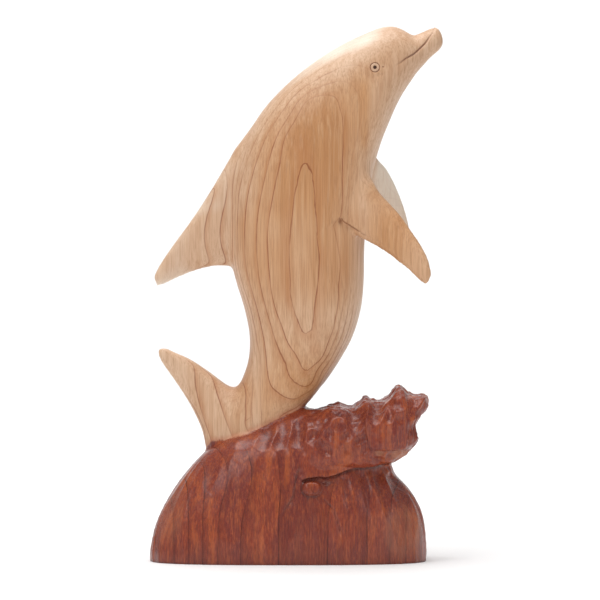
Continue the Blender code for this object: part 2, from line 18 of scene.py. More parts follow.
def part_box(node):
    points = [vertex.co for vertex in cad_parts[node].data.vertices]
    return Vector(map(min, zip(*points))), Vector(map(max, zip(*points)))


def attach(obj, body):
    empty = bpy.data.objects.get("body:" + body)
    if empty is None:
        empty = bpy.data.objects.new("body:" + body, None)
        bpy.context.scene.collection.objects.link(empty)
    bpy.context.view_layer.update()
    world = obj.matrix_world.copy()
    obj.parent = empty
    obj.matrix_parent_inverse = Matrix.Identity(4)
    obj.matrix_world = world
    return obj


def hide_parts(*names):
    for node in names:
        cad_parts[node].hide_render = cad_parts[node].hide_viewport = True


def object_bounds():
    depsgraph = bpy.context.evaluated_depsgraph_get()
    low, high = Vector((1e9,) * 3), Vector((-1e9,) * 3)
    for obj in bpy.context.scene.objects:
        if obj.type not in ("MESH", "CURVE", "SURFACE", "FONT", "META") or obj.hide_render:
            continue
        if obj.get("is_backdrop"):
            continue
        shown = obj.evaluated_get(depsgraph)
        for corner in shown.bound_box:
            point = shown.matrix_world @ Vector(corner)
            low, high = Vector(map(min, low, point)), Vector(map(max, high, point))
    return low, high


NODE = "dolphin_on_wave"

# Share of the model's height that is dolphin and base, of its length that is base, and of its
# thickness that is the block
DOLPHIN_SHARE = 0.7573
BASE_SHARE = 0.2433
LENGTH_SHARE = 0.9364
DEPTH_SHARE = 0.992

# Depths and widths of the cuts, in metres
MOUTH_DEPTH = 0.0008
MOUTH_WIDTH = 0.0010
EYE_RADIUS = 0.0026
EYE_CUT = 0.0006
CREASE_DEPTH = 0.0003
GOUGE_DEPTH = 0.0028
FLUTE_DEPTH = 0.0022
GRAIN_DEPTH = 0.0006
INCISION_DEPTH = 0.0006
INCISION_WIDTH = 0.0010

# Fineness: the grid on which the pieces are fused, the reach of the finer mesh along lines and
# around the eye with the cuts made in each face there, and the triangles left at the end
VOXEL = 0.0012
LINE_FINENESS = (0.0028, 1)
EYE_FINENESS = (0.0045, 2)
TRIANGLES = 185000

# Rounds of softening over the whole skin and at the fins' roots, how strong each one is there, and
# what the skin and the fins' edges are grown by to make up for it, in metres
SOFTENING = 6
ROOT_ROUNDS = 45
ROOT_PULL = 0.6
GROWTH = 0.0003
EDGE_MARGIN = 0.0005

# How many rings each piece is built from, and how many points each ring has
BODY_RINGS = (120, 64)
FIN_RINGS = (90, 48)
MOUND_RINGS = (60, 96)
CREST_RINGS = (160, 64)

# Squareness of the sections: 2 is an ellipse, more is squarer
FIN_POWER = 2.6
MOUND_POWER = 2.8
CREST_POWER = 2.6
LIP_POWER = 5.0

# How much fuller the body is towards its belly, and a fin towards its front edge
BELLY_FULLNESS = 0.08
FRONT_FULLNESS = 0.25

# Stations along the dolphin, beak to tail: back x, z, belly x, z, half width, squareness
BODY = (
    (37.6, 98.3, 38.1, 96.5, 7, 2.2),
    (36.6, 99.6, 38, 95.3, 12, 2.2),
    (35, 99.2, 37, 94, 17, 2.2),
    (32.8, 98.2, 35, 92.3, 22, 2.2),
    (30.8, 97.5, 33.1, 90.2, 29, 2.2),
    (29, 98.5, 31.5, 88.4, 37, 2.2),
    (26.6, 99.6, 30, 86.2, 43, 2.2),
    (23.4, 99.6, 28.2, 83.5, 49, 2.3),
    (19.2, 98, 26.5, 80.3, 55, 2.4),
    (13.5, 95.3, 24.6, 75.9, 62, 2.5),
    (6.1, 90.7, 22.6, 70.8, 67, 2.6),
    (-1.4, 84.4, 21.1, 65.2, 71, 2.6),
    (-7, 78, 19.9, 58.7, 73, 2.4),
    (-11.2, 70.1, 19, 51.6, 74, 2.3),
    (-13.7, 61.4, 18.6, 44.1, 74, 2.2),
    (-14.7, 52.5, 18.5, 37.2, 74, 2.2),
    (-14.6, 44.6, 17.8, 30.3, 73, 2.2),
    (-12.9, 37.2, 15.8, 23.5, 72, 2.3),
    (-10.8, 30.3, 12.7, 17.7, 69, 2.4),
    (-9.5, 23.6, 9.1, 12.3, 64, 2.5),
    (-9.9, 16.9, 5, 7.2, 57, 2.6),
    (-12.4, 10.6, 0.4, 2.6, 50, 2.6),
    (-15.5, 4.6, -4.6, -2.3, 45, 2.6),
)

# Stations from root to tip of the back fin and the fluke: front x, z, rear x, z, half thickness
BACK_FIN = (
    (-0.9, 74.3, -6.6, 41.7, 8.8),
    (-6.6, 76.8, -12, 40.7, 5.5),
    (-11, 72.6, -15.5, 41, 3.8),
    (-15.3, 65.5, -18.7, 40.9, 2.8),
    (-19.8, 58, -21.9, 40.2, 2.2),
    (-24.4, 51.1, -25.1, 39.1, 1.8),
    (-28.7, 45.2, -28.3, 37.7, 1.5),
    (-31.9, 40.3, -30.9, 36.5, 1.2),
    (-33.1, 37.9, -32.6, 36, 1),
)
FLUKE = (
    (-5.1, 8, -14, -9.3, 7.5),
    (-9.5, 9, -16.9, -7.5, 6.9),
    (-13.2, 10, -19.7, -5.3, 5.8),
    (-16.4, 11.8, -21.1, 0.1, 4.4),
    (-20.4, 14.7, -23.4, 5.3, 3.1),
    (-24.4, 17.3, -26.1, 9.8, 2.2),
    (-28.1, 19, -29, 14, 1.5),
    (-31, 20.1, -31.5, 17.7, 1.1),
    (-32.1, 19.9, -32.1, 19.2, 0.8),
)

# Stations of the two flippers: front x, z, rear x, z, side steps of both edges, half thickness
NEAR_FLIPPER = (
    (13.7, 74.8, 8.3, 54, -30, -45, 3.1),
    (16.9, 69.8, 11.2, 52.1, -38, -45, 2.7),
    (19.4, 64.9, 14, 50.3, -42, -48, 2.3),
    (21.6, 59.3, 17.2, 48.2, -48, -53, 2.1),
    (24.1, 56.3, 20.2, 46.6, -54, -58, 1.9),
    (27, 53.1, 23.8, 44.4, -62, -65, 1.6),
    (29.9, 48.9, 27.3, 41.7, -71, -73, 1.4),
    (32.4, 45.1, 30.4, 39, -79, -80, 1.2),
    (34.1, 41.3, 32.4, 37, -85, -85, 1.1),
    (34.7, 38.4, 33.7, 36.2, -88, -88, 0.8),
)
FAR_FLIPPER = (
    (13.7, 77.3, 8.3, 59.5, 26, 45, 3.1),
    (17.2, 73.3, 11.2, 56.3, 34, 47, 2.7),
    (19.9, 69.8, 14.5, 54.5, 42, 52, 2.3),
    (22.4, 67.4, 17.7, 52.8, 52, 60, 2.1),
    (24.6, 64.2, 20.9, 50.6, 61, 67, 1.9),
    (26.8, 60, 23.9, 48.1, 70, 74, 1.6),
    (28.6, 55.5, 26.6, 45.9, 79, 81, 1.4),
    (29.8, 51.3, 28.6, 44.1, 86, 87, 1.2),
    (30.5, 47.6, 29.8, 43, 90, 90, 1.1),
    (30.9, 44.6, 30.4, 42.7, 92, 92, 0.8),
)

# Levels of the mound, from below the ground up: z, left x, right x, half depth
MOUND = (
    (-8, -49.6, 49.6, 99),
    (4.5, -50.5, 50.2, 100),
    (15, -49.8, 50.1, 100),
    (28, -48.3, 49.5, 99),
    (38, -46.3, 48.4, 98),
    (48, -43.8, 46.2, 96),
    (57, -41.1, 43.2, 94),
    (66, -38, 39, 91),
    (75, -34.4, 37, 88),
    (84, -30.1, 35.3, 85),
    (91, -25.3, 33.8, 80),
    (97, -19.5, 31.5, 74),
    (104, -11.2, 28.5, 66),
    (111, -4.6, 25, 55),
    (117, 1, 20, 40),
)

# Stations of the wave's crest from left to right: x, top z, lower edge z, half depth
CREST = (
    (0.5, 112, 62.7, 53),
    (4.9, 114.6, 61.9, 79),
    (8.6, 115.4, 65.7, 89),
    (11.9, 117.5, 66.8, 93),
    (15.1, 120.8, 68.7, 95),
    (18.1, 122, 70.6, 96),
    (23.2, 119.4, 71.8, 96),
    (25.4, 122.3, 72, 96),
    (28.3, 126.6, 72, 95),
    (30.8, 124.1, 72.4, 93),
    (34.9, 125.3, 75, 91),
    (37, 128.6, 75.8, 88),
    (38.5, 133.4, 77.2, 87),
    (40.3, 136.4, 79.4, 84),
    (42.2, 133.9, 81.6, 82),
    (44, 129.8, 85, 76),
    (46, 128.4, 89, 71),
    (47.1, 128.1, 91.7, 66),
    (47.8, 128.5, 110.2, 61),
    (49.7, 128.4, 114, 52),
    (51.2, 125, 118.6, 34),
)

# The face, in percent of the dolphin's height
MOUTH = (
    (35.9, 99.8), (35.6, 98.1), (34.5, 96.7), (33.6, 95.4), (32.3, 94.1),
    (30.8, 92.7), (29, 91.7), (27.5, 90.5), (26.2, 89.6), (24.4, 88.8),
)
EYE = (21.2, 89.3)
EYE_CORNER = (23.2, 89.4)
EYE_FRONT = (22.7, 89.3)
CHEEK = ((19.7, 86.2), (21.7, 87.2), (23.5, 87.7))

# The root of the near flipper's lower edge, from right to left; how deep the body falls back below
# it, how far that reaches and the half width of the painted shadow line under it, in metres
FLIPPER_EDGE = ((21.5, 46.2), (19.2, 47.9), (16.2, 49.9), (13.5, 51.6), (12.7, 52.9))
FLIPPER_EDGE_DEPTH = 0.0016
FLIPPER_EDGE_REACH = 0.0050
FLIPPER_EDGE_SHADOW = 0.0007

# The small dark notch where that edge begins, painted shade with no cut: its place, and its half length and
# half height in metres
NOTCH = (12.6, 51.7)
NOTCH_SIZE = (0.0011, 0.0022)

# Where fins grow smoothly out of the body: x, z and reach of the blend
ROOTS = (
    (18.6, 66, 6.5),
    (-12.5, 74, 5),
    (-11.5, 8.5, 8.5),
)

# The small curl of water under the lip: its middle and half sizes in percent of the base, its height
# in metres and its squareness
CURL_PLACE = (8.5, 58)
CURL_SIZE = (3.4, 5.6)
CURL_HEIGHT = 0.0018
CURL_POWER = 2.7

# Painted shade beside it, below the lip: a dark patch, with no cut there
CURL_SHADE_PATCH = (13.4, 61.6)
CURL_SHADE_PATCH_SIZE = (2.8, 3.4)

# Number of upright tool marks round the mound
TOOL_MARKS = 24

# Distance between the scattered gouge cuts, in percent of the base's length, the level of the middle
# of the crest and its roundness there, and the foot of the tail, which stays clear of them
GOUGE_PITCH = 6.2
CREST_MIDDLE = 98
CREST_ROUND = 92
TAIL_FOOT = (4.2, 116)

# Short flutes on the shoulder: the first one's place, the step to the next, the first one's lean
# in degrees and what each next one adds to it, half their length and width in percent of the
# base's length, their share of the flutes' depth, and the first one's share of that
SHOULDER_FLUTES = 5
SHOULDER_START = (-13.9, 94.6)
SHOULDER_STEP = (5.8, 1.7)
SHOULDER_LEAN = (52, 9)
SHOULDER_SIZE = (7.4, 3.1)
SHOULDER_SHARE = 0.85
FIRST_FLUTE_SHARE = 0.45

# The hollow across the end of the crest: its level, half height, side step and half width, and
# between which x it sets in
HOLLOW_LEVEL = 103
HOLLOW_HEIGHT = 8.5
HOLLOW_SIDE = -20
HOLLOW_WIDTH = 84
HOLLOW_START = (43, 45)

# Long upright flutes on the front of the mound, in percent of the base's length and height:
# upper end x, z, lower end x, z, half width and share of the flutes' depth
FLUTES = (
    (-25.5, 87, -32.5, 36, 3.4, 0.5),
    (-18.5, 84, -21.8, 16, 3.2, 0.28),
    (-9.5, 86, -11.5, 18, 3.6, 0.35),
    (-1.5, 84, -5, 16, 3.2, 0.28),
    (20.5, 70, 23, 30, 2.2, 0.55),
    (26.8, 73, 31.5, 22, 2.2, 0.65),
    (32.3, 74, 38, 26, 2.4, 0.8),
    (37.8, 72, 44, 32, 3.2, 1.00),
)

# Gouge cuts on the front of the crest, in percent of the base's length and height, then the
# half length and half width in percent of the length, the slope in degrees and the share of depth
GOUGES = (
    (39.6, 120.6, 4, 2.3, -6, 0.62),
    (36.2, 112.4, 3.8, 2.5, 60, 0.66),
    (39.6, 110.4, 2.8, 1.9, -45, 0.5),
    (31.9, 117.2, 6, 3.5, 72, 0.85),
    (23.9, 108.5, 7.4, 4, 68, 0.95),
    (18.1, 114.8, 3, 1, -14, 0.8),
    (19, 104.6, 4.4, 3.1, -24, 0.75),
    (12.6, 108.5, 5.6, 2.9, 66, 0.55),
    (14.6, 98.8, 3.6, 2.5, 70, 0.7),
    (21, 98, 3.6, 2.4, 55, 0.72),
    (26.2, 94.6, 3.6, 2.2, 35, 0.66),
    (8.6, 98.4, 3.8, 2.4, 40, 0.5),
    (12.8, 88, 4.8, 3.2, -50, 0.95),
    (20.5, 86.5, 5, 3, 12, 0.3),
    (44.6, 117, 5, 2.6, 80, 0.45),
    (38.2, 82.6, 4.2, 2, 12, 0.6),
    (42.8, 83.8, 2.8, 1.8, 20, 0.45),
    (33, 84.2, 2.8, 1.6, 5, 0.45),
    (32.3, 78.8, 2.9, 2.1, 10, 0.6),
    (13.6, 62.6, 2.2, 1.2, 8, 0.42),
)

# Edges beside which the face of the wave falls back on the left-hand side as one follows them, in
# percent of the base: the lip of the crest from right to left, the step across the crest's end,
# the upright edge of the end and the fold beside the curl
LIP = (
    (44, 82.7), (37.6, 76.4), (34.5, 75.8), (31.3, 73.3), (27.5, 72.8), (24.3, 72.8), (20.6, 70.9),
    (17.2, 68), (13.7, 66.2), (10.8, 66.6), (6.7, 65.4), (4.9, 64), (4.4, 60.5),
)
STEP = ((45.2, 86.2), (39, 86.6), (33.5, 86.6), (28.2, 88))
END_EDGE = ((30.6, 86), (29.2, 91.4), (28.1, 98.6), (27.6, 109.9), (29.2, 126))
FOLD = ((3.8, 75.1), (2.5, 64.9), (1.7, 52.1), (0.4, 47.6), (-1.6, 41.5), (-3.2, 33))

# Each edge, how deep the face falls back and how far that reaches, in metres, where the edge starts
# to fade out, as a share of its length, and how dark the painted shade, partly gathered stain, is beside it
LEDGES = (
    (LIP, 0.0022, 0.007, 0.85, 1),
    (STEP, 0.0012, 0.006, 0.9, 0.12),
    (END_EDGE, 0.0016, 0.008, 0.8, 0.12),
    (FOLD, 0.0009, 0.0035, 0.55, 0.5),
)

# How softly the rims of the front's scoops run out: 1 leaves a sharp rim, more a softer one; and the
# angle in degrees from which an edge is drawn sharp
RIM_SOFTNESS = 1.35
SHARP_ANGLE = 60

# Small uneven ripples left by the knife on the wave: how many waves they are made of, their lengths
# and the height of each, in metres
RIPPLE_WAVES = 14
RIPPLE_LENGTHS = (0.0032, 0.0085)
RIPPLE_HEIGHT = 0.00006

# Width of the slope from the edge down to the face, and of the painted dark line of shade there, in metres
LEDGE_WIDTH = 0.0007
CREVICE_WIDTH = 0.0018

# The thin cut that runs down from the curl
INCISION = ((11.4, 52.3), (16.2, 42.3), (19.1, 25), (20.2, 16.2))

# The upper edge of the stain, in percent of the base
STAIN_EDGE = (
    (-60, 70), (-30.6, 84), (-28.4, 91.5), (-27.2, 92.7), (-22.8, 93.5), (-15.2, 97.8),
    (-8.1, 105.1), (-1.1, 112.5), (4.4, 117.6), (20, 142), (60, 200),
)

# Growth rings: place of the tree's heart, and the radii of the rings, in millimetres
HEART = (8, 150)
INNER_RINGS = tuple(118.4 + 3.2 * step for step in range(13))
FRONT_RINGS = (159.9, 162.4, 165, 168, 171.9, 174.9, 176.6, 178.15)
OUTER_RINGS = tuple(181.4 + 3.1 * step for step in range(6))
RINGS = INNER_RINGS + FRONT_RINGS + OUTER_RINGS

# The fewest rings per millimetre that the lines are drawn for
LEAST_RATE = 0.012

# How much the depth of the wood counts in the wave, where the rings stand almost upright
WAVE_GRAIN_SHARE = 0.08

# The rings stand upright in the fins too: there the depth counts up to a limit, in millimetres,
# which it nears this many times faster
FIN_GRAIN = (5.6, 3)
FLUKE_GRAIN = (9.5, 3)
FLIPPER_GRAIN = (22, 1)

# Bends of the grain: middle x and z, reach along x and z in percent of the dolphin's height, and how
# far the rings are moved outwards, in millimetres
BENDS = (
    (4.4, 81.2, 5.3, 5.3, 2.6),
    (-0.4, 73.2, 6.2, 6.2, 1.6),
    (9.7, 84.7, 4.4, 4.4, 0.8),
    (13.2, 70.8, 6.4, 8.4, -1.3),
    (8.2, 50, 3, 24, -0.78),
    (4.4, 65, 2.2, 4, 0.2),
    (4.8, 21.6, 3.4, 3.4, -0.9),
    (12.4, 43.1, 8, 8, 0.9),
    (10.6, 23.6, 4.4, 4.4, 1.7),
    (11.9, 31.2, 4, 4, 1.3),
    (8.4, 18.3, 4, 4, 3.2),
    (3.5, 31.2, 8, 8, 0.45),
    (3.5, 21.9, 4.4, 4.4, 1.4),
    (4.4, 15.7, 3.5, 3.5, 0.9),
    (0.9, 13.5, 3.1, 3.1, 1),
    (6.2, 11.2, 3.5, 3.5, 5),
    (2.7, 6.8, 3.1, 3.1, 2.4),
    (-19.9, 60.4, 6.6, 6.6, 2),
    (-17.7, 38.7, 5.3, 5.3, 2),
    (-22.1, 13.5, 9.7, 9.7, -2.2),
    (7.4, 36, 1.9, 4.2, 0.3),
    (6.4, 28.2, 1.6, 2.4, 0.12),
    (1.9, 28.4, 1.6, 2.6, 0.12),
    (7, 51, 1.9, 4.6, 0.2),
    (4.6, 24, 2.4, 2.6, 0.12),
    (0, 47.5, 1.9, 8, -0.19),
    (4.2, 66.2, 2, 1.8, -0.1),
    (12.9, 36.5, 2, 6, 0.85),
    (11.8, 26, 2.4, 5, 0.85),
    (13.2, 55.5, 1.4, 5, 0.36),
    (-12, 9.5, 2.2, 2.2, 0.35),
    (-9, 1.6, 2.5, 2.5, -0.8),
    (-13.3, -9.1, 8.8, 8.8, 2),
)

# In the chest and head the rings fall back to the right: from which x, how softly, and how many
# millimetres for each percent; and the heights over which this sets in
RING_FALL = (13.3, 1.8, 0.68)
RING_FALL_HEIGHTS = (50, 63)

# Where the stain is thin on the front of the wave, and on the mound's right end a lighter patch that is
# partly a painted highlight: x, z and half sizes in percent of the base, and how thin it is there
THIN_STAIN_AND_HIGHLIGHT = (
    (40.5, 83.2, 4.2, 5, 1),
    (32.6, 84.6, 2.2, 2.6, 1),
    # The mound's right end: thinner stain and partly a painted highlight
    (41.5, 24, 8, 24, 0.6),
    (-43, 44, 7, 34, 0.4),
)

# The camera, in metres and degrees, the size of one picture point at the carving and how many of
# them the picture is wide
CAMERA_DISTANCE = 2.2
CAMERA_HEIGHT = 0.4
CAMERA_TARGET = (0.00643, 0, 0.1455)
POINT_SIZE = 0.0005587
PICTURE = 600

# The floor's half width and front, the start, radius and steps of the curve behind it and the top
# of the wall, in metres, how white and rough they are, and how strong the light from all round is
FLOOR_SIDE = 4.0
FLOOR_FRONT = -4.0
CURVE_START = 2.6
CURVE_RADIUS = 0.8
CURVE_STEPS = 12
WALL_TOP = 4.0
FLOOR_WHITE = 0.93
FLOOR_ROUGHNESS = 0.8
WORLD_LIGHT = 0.36

# The lamps: name, place and size in metres, power in watts and what each one points at
CARVING_MIDDLE = (0, 0, 0.14)
LAMPS = (
    ("Key", (-0.9, -1.3, 1.3), 1, 9.4, CARVING_MIDDLE),
    ("Top", (-0.1, -0.05, 1.6), 1.2, 19.5, CARVING_MIDDLE),
    ("Right", (1.15, -1.2, 0.45), 0.8, 2.2, CARVING_MIDDLE),
    ("Backdrop", (0, 1.5, 1.8), 1.6, 34, (0, 3, 0.2)),
)


def figure(x, z):
    """A place on the dolphin, as metres in the XZ plane."""
    return x * DOLPHIN_HEIGHT / 100, BASE_HEIGHT + z * DOLPHIN_HEIGHT / 100


def base(x, z):
    """A place on the wave, as metres in the XZ plane."""
    return x * BASE_LENGTH / 100, z * BASE_HEIGHT / 100


def depth(share):
    """A step through the block's thickness, in metres."""
    return share * BLOCK_DEPTH / 200


def trace(place, line):
    """The corners of a line on the dolphin (figure) or the wave (base), as metres in the XZ plane."""
    return [place(x, z) for x, z in line]


def on_base(points):
    """The x and z of points, in percent of the base."""
    return 100 * points[:, 0] / BASE_LENGTH, 100 * points[:, 2] / BASE_HEIGHT


def placed(name, data):
    """A new object in the scene."""
    item = bpy.data.objects.new(name, data)
    bpy.context.scene.collection.objects.link(item)
    return item


def smooth_rows(rows, count):
    """The rows of a table read at count even steps along a smooth curve through them."""
    rows = np.array(rows, dtype=float)
    steps = np.linalg.norm(np.diff(rows, axis=0), axis=1)
    places = np.concatenate(([0], np.cumsum(steps)))
    slopes = np.gradient(rows, places, axis=0)
    reads = np.linspace(0, places[-1], count)
    index = np.clip(np.searchsorted(places, reads, side="right") - 1, 0, len(rows) - 2)
    span = places[index + 1] - places[index]
    t = ((reads - places[index]) / span)[:, None]
    span = span[:, None]
    start = rows[index] * (2 * t**3 - 3 * t**2 + 1) + slopes[index] * span * (t**3 - 2 * t**2 + t)
    end = rows[index + 1] * (3 * t**2 - 2 * t**3) + slopes[index + 1] * span * (t**3 - t**2)
    return start + end


def oval(sides, power):
    """Cosines and sines of a ring of points, squared up by the power (2 is an ellipse)."""
    ring = []
    for step in range(sides):
        angle = 2 * math.pi * (step + 0.5) / sides
        pair = []
        for value in (math.cos(angle), math.sin(angle)):
            pair.append(math.copysign(abs(value) ** (2 / power), value))
        ring.append(pair)
    return ring


def skin(form, rings):
    """Add a closed skin over rings of points, with a face across each end."""
    rows = []
    for ring in rings:
        rows.append([form.verts.new(point) for point in ring])
    faces = []
    for one, two in zip(rows, rows[1:]):
        for index in range(len(one)):
            after = (index + 1) % len(one)
            faces.append(form.faces.new((one[index], one[after], two[after], two[index])))
    faces += [form.faces.new(rows[0]), form.faces.new(rows[-1])]
    bmesh.ops.recalc_face_normals(form, faces=faces)


def dolphin_body():
    """Rings of the body from beak to tail, widest a little below the middle of its side."""
    for back_x, back_z, belly_x, belly_z, width, power in smooth_rows(BODY, BODY_RINGS[0]):
        back = np.array(figure(back_x, back_z))
        belly = np.array(figure(belly_x, belly_z))
        middle = (back + belly) / 2
        reach = (back - belly) / 2
        ring = []
        for along, across in oval(BODY_RINGS[1], power):
            x, z = middle + reach * along
            y = depth(width) * across * (1 - BELLY_FULLNESS * along)
            ring.append((x, y, z))
        yield ring


def blade(stations):
    """Rings of a fin, fullest near its front edge; a flipper's edges also step sideways."""
    for row in smooth_rows(stations, FIN_RINGS[0]):
        front = np.array(figure(row[0], row[1]))
        rear = np.array(figure(row[2], row[3]))
        front_side, rear_side = (depth(row[4]), depth(row[5])) if len(row) == 7 else (0, 0)
        thick = row[-1] * DOLPHIN_HEIGHT / 100
        middle = (front + rear) / 2
        reach = (front - rear) / 2
        reach *= 1 + EDGE_MARGIN / np.linalg.norm(reach)
        ring = []
        for along, across in oval(FIN_RINGS[1], FIN_POWER):
            x, z = middle + reach * along
            side = front_side * (1 + along) / 2 + rear_side * (1 - along) / 2
            ring.append((x, side + thick * across * (1 + FRONT_FULLNESS * along), z))
        yield ring


def mound():
    """Rings of the body of the wave: level slices with rounded ends, one above the other."""
    for level, left, right, width in smooth_rows(MOUND, MOUND_RINGS[0]):
        left_x, z = base(left, level)
        right_x = base(right, level)[0]
        middle = (left_x + right_x) / 2
        reach = (right_x - left_x) / 2
        ring = []
        for along, across in oval(MOUND_RINGS[1], MOUND_POWER):
            ring.append((middle + reach * along, depth(width) * across, z))
        yield ring


def crest():
    """Rings of the wave's curling top: upright slices, rounded above and square at the lip."""
    for place, top, low, width in smooth_rows(CREST, CREST_RINGS[0]):
        x, top_z = base(place, top)
        low_z = base(place, low)[1]
        middle = (top_z + low_z) / 2
        reach = (top_z - low_z) / 2
        sides = CREST_RINGS[1]
        ring = []
        for upper, lower in zip(oval(sides, CREST_POWER), oval(sides, LIP_POWER)):
            up, across = upper if upper[0] > 0 else lower
            ring.append((x, depth(width) * across, middle + reach * up))
        yield ring


def evaluated(piece):
    """The mesh of an object with its modifiers applied; the object itself is removed."""
    graph = bpy.context.evaluated_depsgraph_get()
    data = bpy.data.meshes.new_from_object(piece.evaluated_get(graph), depsgraph=graph)
    bpy.data.objects.remove(piece)
    return data


def fuse(pieces):
    """One skin around all the pieces, softened where they meet."""
    whole = bmesh.new()
    for rings in pieces:
        skin(whole, rings)
    data = bpy.data.meshes.new("block")
    whole.to_mesh(data)
    whole.free()
    block = placed("block", data)
    remesh = block.modifiers.new("One skin", "REMESH")
    remesh.mode = "VOXEL"
    remesh.voxel_size = VOXEL
    soften = block.modifiers.new("Soften", "SMOOTH")
    soften.factor = 0.5
    soften.iterations = SOFTENING
    return evaluated(block)


def finer(mesh):
    """The same skin with four faces for each one, rounded between them."""
    piece = placed("block", mesh)
    smooth = piece.modifiers.new("Finer", "SUBSURF")
    smooth.levels = 1
    smooth.render_levels = 1
    return evaluated(piece)


def read(mesh):
    """The points of a mesh and the directions that face outwards there."""
    points = np.empty(len(mesh.vertices) * 3)
    outward = np.empty(len(mesh.vertices) * 3)
    mesh.vertices.foreach_get("co", points)
    mesh.vertices.foreach_get("normal", outward)
    return points.reshape(-1, 3), outward.reshape(-1, 3)


def write(mesh, points):
    """Move a mesh to new points."""
    mesh.vertices.foreach_set("co", points.ravel())
    mesh.update()


def blend_roots(mesh):
    """Grow the skin by what softening took off, and draw the fins' roots smoothly into the body."""
    points, outward = read(mesh)
    points += outward * GROWTH
    edges = np.empty(len(mesh.edges) * 2, dtype=int)
    mesh.edges.foreach_get("vertices", edges)
    one, two = edges.reshape(-1, 2).T
    count = np.bincount(edges, minlength=len(points))[:, None]
    weight = np.zeros(len(points))
    for x, z, reach in ROOTS:
        gap = distance(points, figure(x, z)) / (reach * DOLPHIN_HEIGHT / 100)
        weight = np.maximum(weight, fall(gap, 0.4, 1))
    moving = np.flatnonzero(weight > 0)
    weight = weight[moving, None]
    for _ in range(ROOT_ROUNDS):
        total = np.zeros_like(points)
        np.add.at(total, one, points[two])
        np.add.at(total, two, points[one])
        middle = total[moving] / count[moving]
        points[moving] += ROOT_PULL * weight * (middle - points[moving])
    write(mesh, points)


def distance(points, middle, size=1, power=2):
    """How far each point is from a place in the XZ plane, as a share of the size."""
    return np.linalg.norm((points[:, [0, 2]] - middle) / size, ord=power, axis=1)


def line_distance(points, place, line):
    """Each point's distance from a bent line, minus on its right, and how far along it that is."""
    flat = points[:, [0, 2]]
    best = np.full(len(points), 1e9)
    nearest = np.zeros(len(points))
    line = np.array(trace(place, line))
    for index in range(len(line) - 1):
        start = line[index]
        run = line[index + 1] - start
        offset = flat - start
        share = np.clip(offset @ run / (run @ run), 0, 1)
        gap = np.linalg.norm(offset - share[:, None] * run, axis=1)
        on_right = run[0] * offset[:, 1] < run[1] * offset[:, 0]
        closer = gap < np.abs(best)
        best[closer] = np.where(on_right, -gap, gap)[closer]
        nearest[closer] = (index + share[closer]) / (len(line) - 1)
    return best, nearest


def turned(points, middle, slope):
    """Each point's steps from a place along a slope in degrees, and across it."""
    offset = points[:, [0, 2]] - middle
    angle = math.radians(slope)
    along = offset @ np.array((math.cos(angle), math.sin(angle)))
    return along, offset @ np.array((-math.sin(angle), math.cos(angle)))


def bump(value):
    """A smooth hill: 1 at zero and nearly 0 at one."""
    return np.exp(-3 * value**2)


def hill(value, middle, reach):
    """A smooth hill round a middle, a third as high at its reach."""
    return np.exp(-(((value - middle) / reach) ** 2))


def rise(value, low, high):
    """0 below low, 1 above high and smooth between."""
    t = np.clip((value - low) / (high - low), 0, 1)
    return t * t * (3 - 2 * t)


def fall(value, low, high):
    """1 below low, 0 above high and smooth between."""
    return 1 - rise(value, low, high)


def window(value, start, full, fading, end):
    """0 outside start and end, 1 between full and fading."""
    return rise(value, start, full) * fall(value, fading, end)


def frontal(outward, low, high):
    """How squarely each point faces the front: 0 below low and 1 above high."""
    return rise(-outward[:, 1], low, high)


def mouth_line(points):
    """How near each point is to the line of the mouth, fading out at its corner."""
    gap, place = line_distance(points, figure, MOUTH)
    strength = (0.35 + 0.65 * rise(place, 0.1, 0.35)) * fall(place, 0.6, 0.95)
    return bump(gap / MOUTH_WIDTH) * strength


def eye_marks(points):
    """The ring, the pupil and the corner of each eye."""
    gap = distance(points, figure(*EYE)) / EYE_RADIUS
    corner = distance(points, figure(*EYE_CORNER)) / EYE_RADIUS
    return 0.8 * bump((gap - 1) / 0.18) + 1.7 * fall(gap, 0.24, 0.46) + 0.8 * bump(corner / 0.3)


def eye_white(points):
    """The pale disc inside the eye's ring."""
    return fall(distance(points, figure(*EYE)) / EYE_RADIUS, 0.85, 1.1)


def cheek_crease(points):
    """How near each point is to the faint crease below the eye."""
    gap, place = line_distance(points, figure, CHEEK)
    return bump(gap / MOUTH_WIDTH) * window(place, 0, 0.3, 0.7, 1)


def below_edge(gap, reach):
    """1 just beside an edge on its left, dying away over the reach, and 0 on its right."""
    return rise(gap, -LEDGE_WIDTH / 2, LEDGE_WIDTH / 2) * np.exp(-np.abs(gap) / reach)


def under_flipper(points, outward):
    """How far the body falls back below the root of the near flipper, which leaves a crisp edge."""
    gap, place = line_distance(points, figure, FLIPPER_EDGE)
    below = below_edge(gap, FLIPPER_EDGE_REACH) * window(place, 0.35, 0.65, 0.8, 1)
    return FLIPPER_EDGE_DEPTH * below * frontal(outward, 0.1, 0.5)


def gouge_cut(points, outward):
    """Scoops on the front of the crest; where two meet, a sharp ridge is left between them."""
    result = np.zeros(len(points))
    size = BASE_LENGTH / 100
    for x, z, length, width, slope, share in GOUGES:
        along, across = turned(points, base(x, z), slope)
        form = 1 - (along / (length * size)) ** 2 - (across / (width * size)) ** 2
        result = np.maximum(result, GOUGE_DEPTH * share * np.clip(form, 0, 1) ** RIM_SOFTNESS)
    return result * frontal(outward, 0.05, 0.35)


def end_hollow(points, outward):
    """A hollow across the end of the crest, above its lower corner."""
    along, level = on_base(points)
    up = (level - HOLLOW_LEVEL) / HOLLOW_HEIGHT
    aside = (points[:, 1] - depth(HOLLOW_SIDE)) / depth(HOLLOW_WIDTH)
    form = np.clip(1 - up**2 - aside**2, 0, 1)
    return GOUGE_DEPTH * form * rise(along, *HOLLOW_START) * rise(outward[:, 0], 0.2, 0.6)


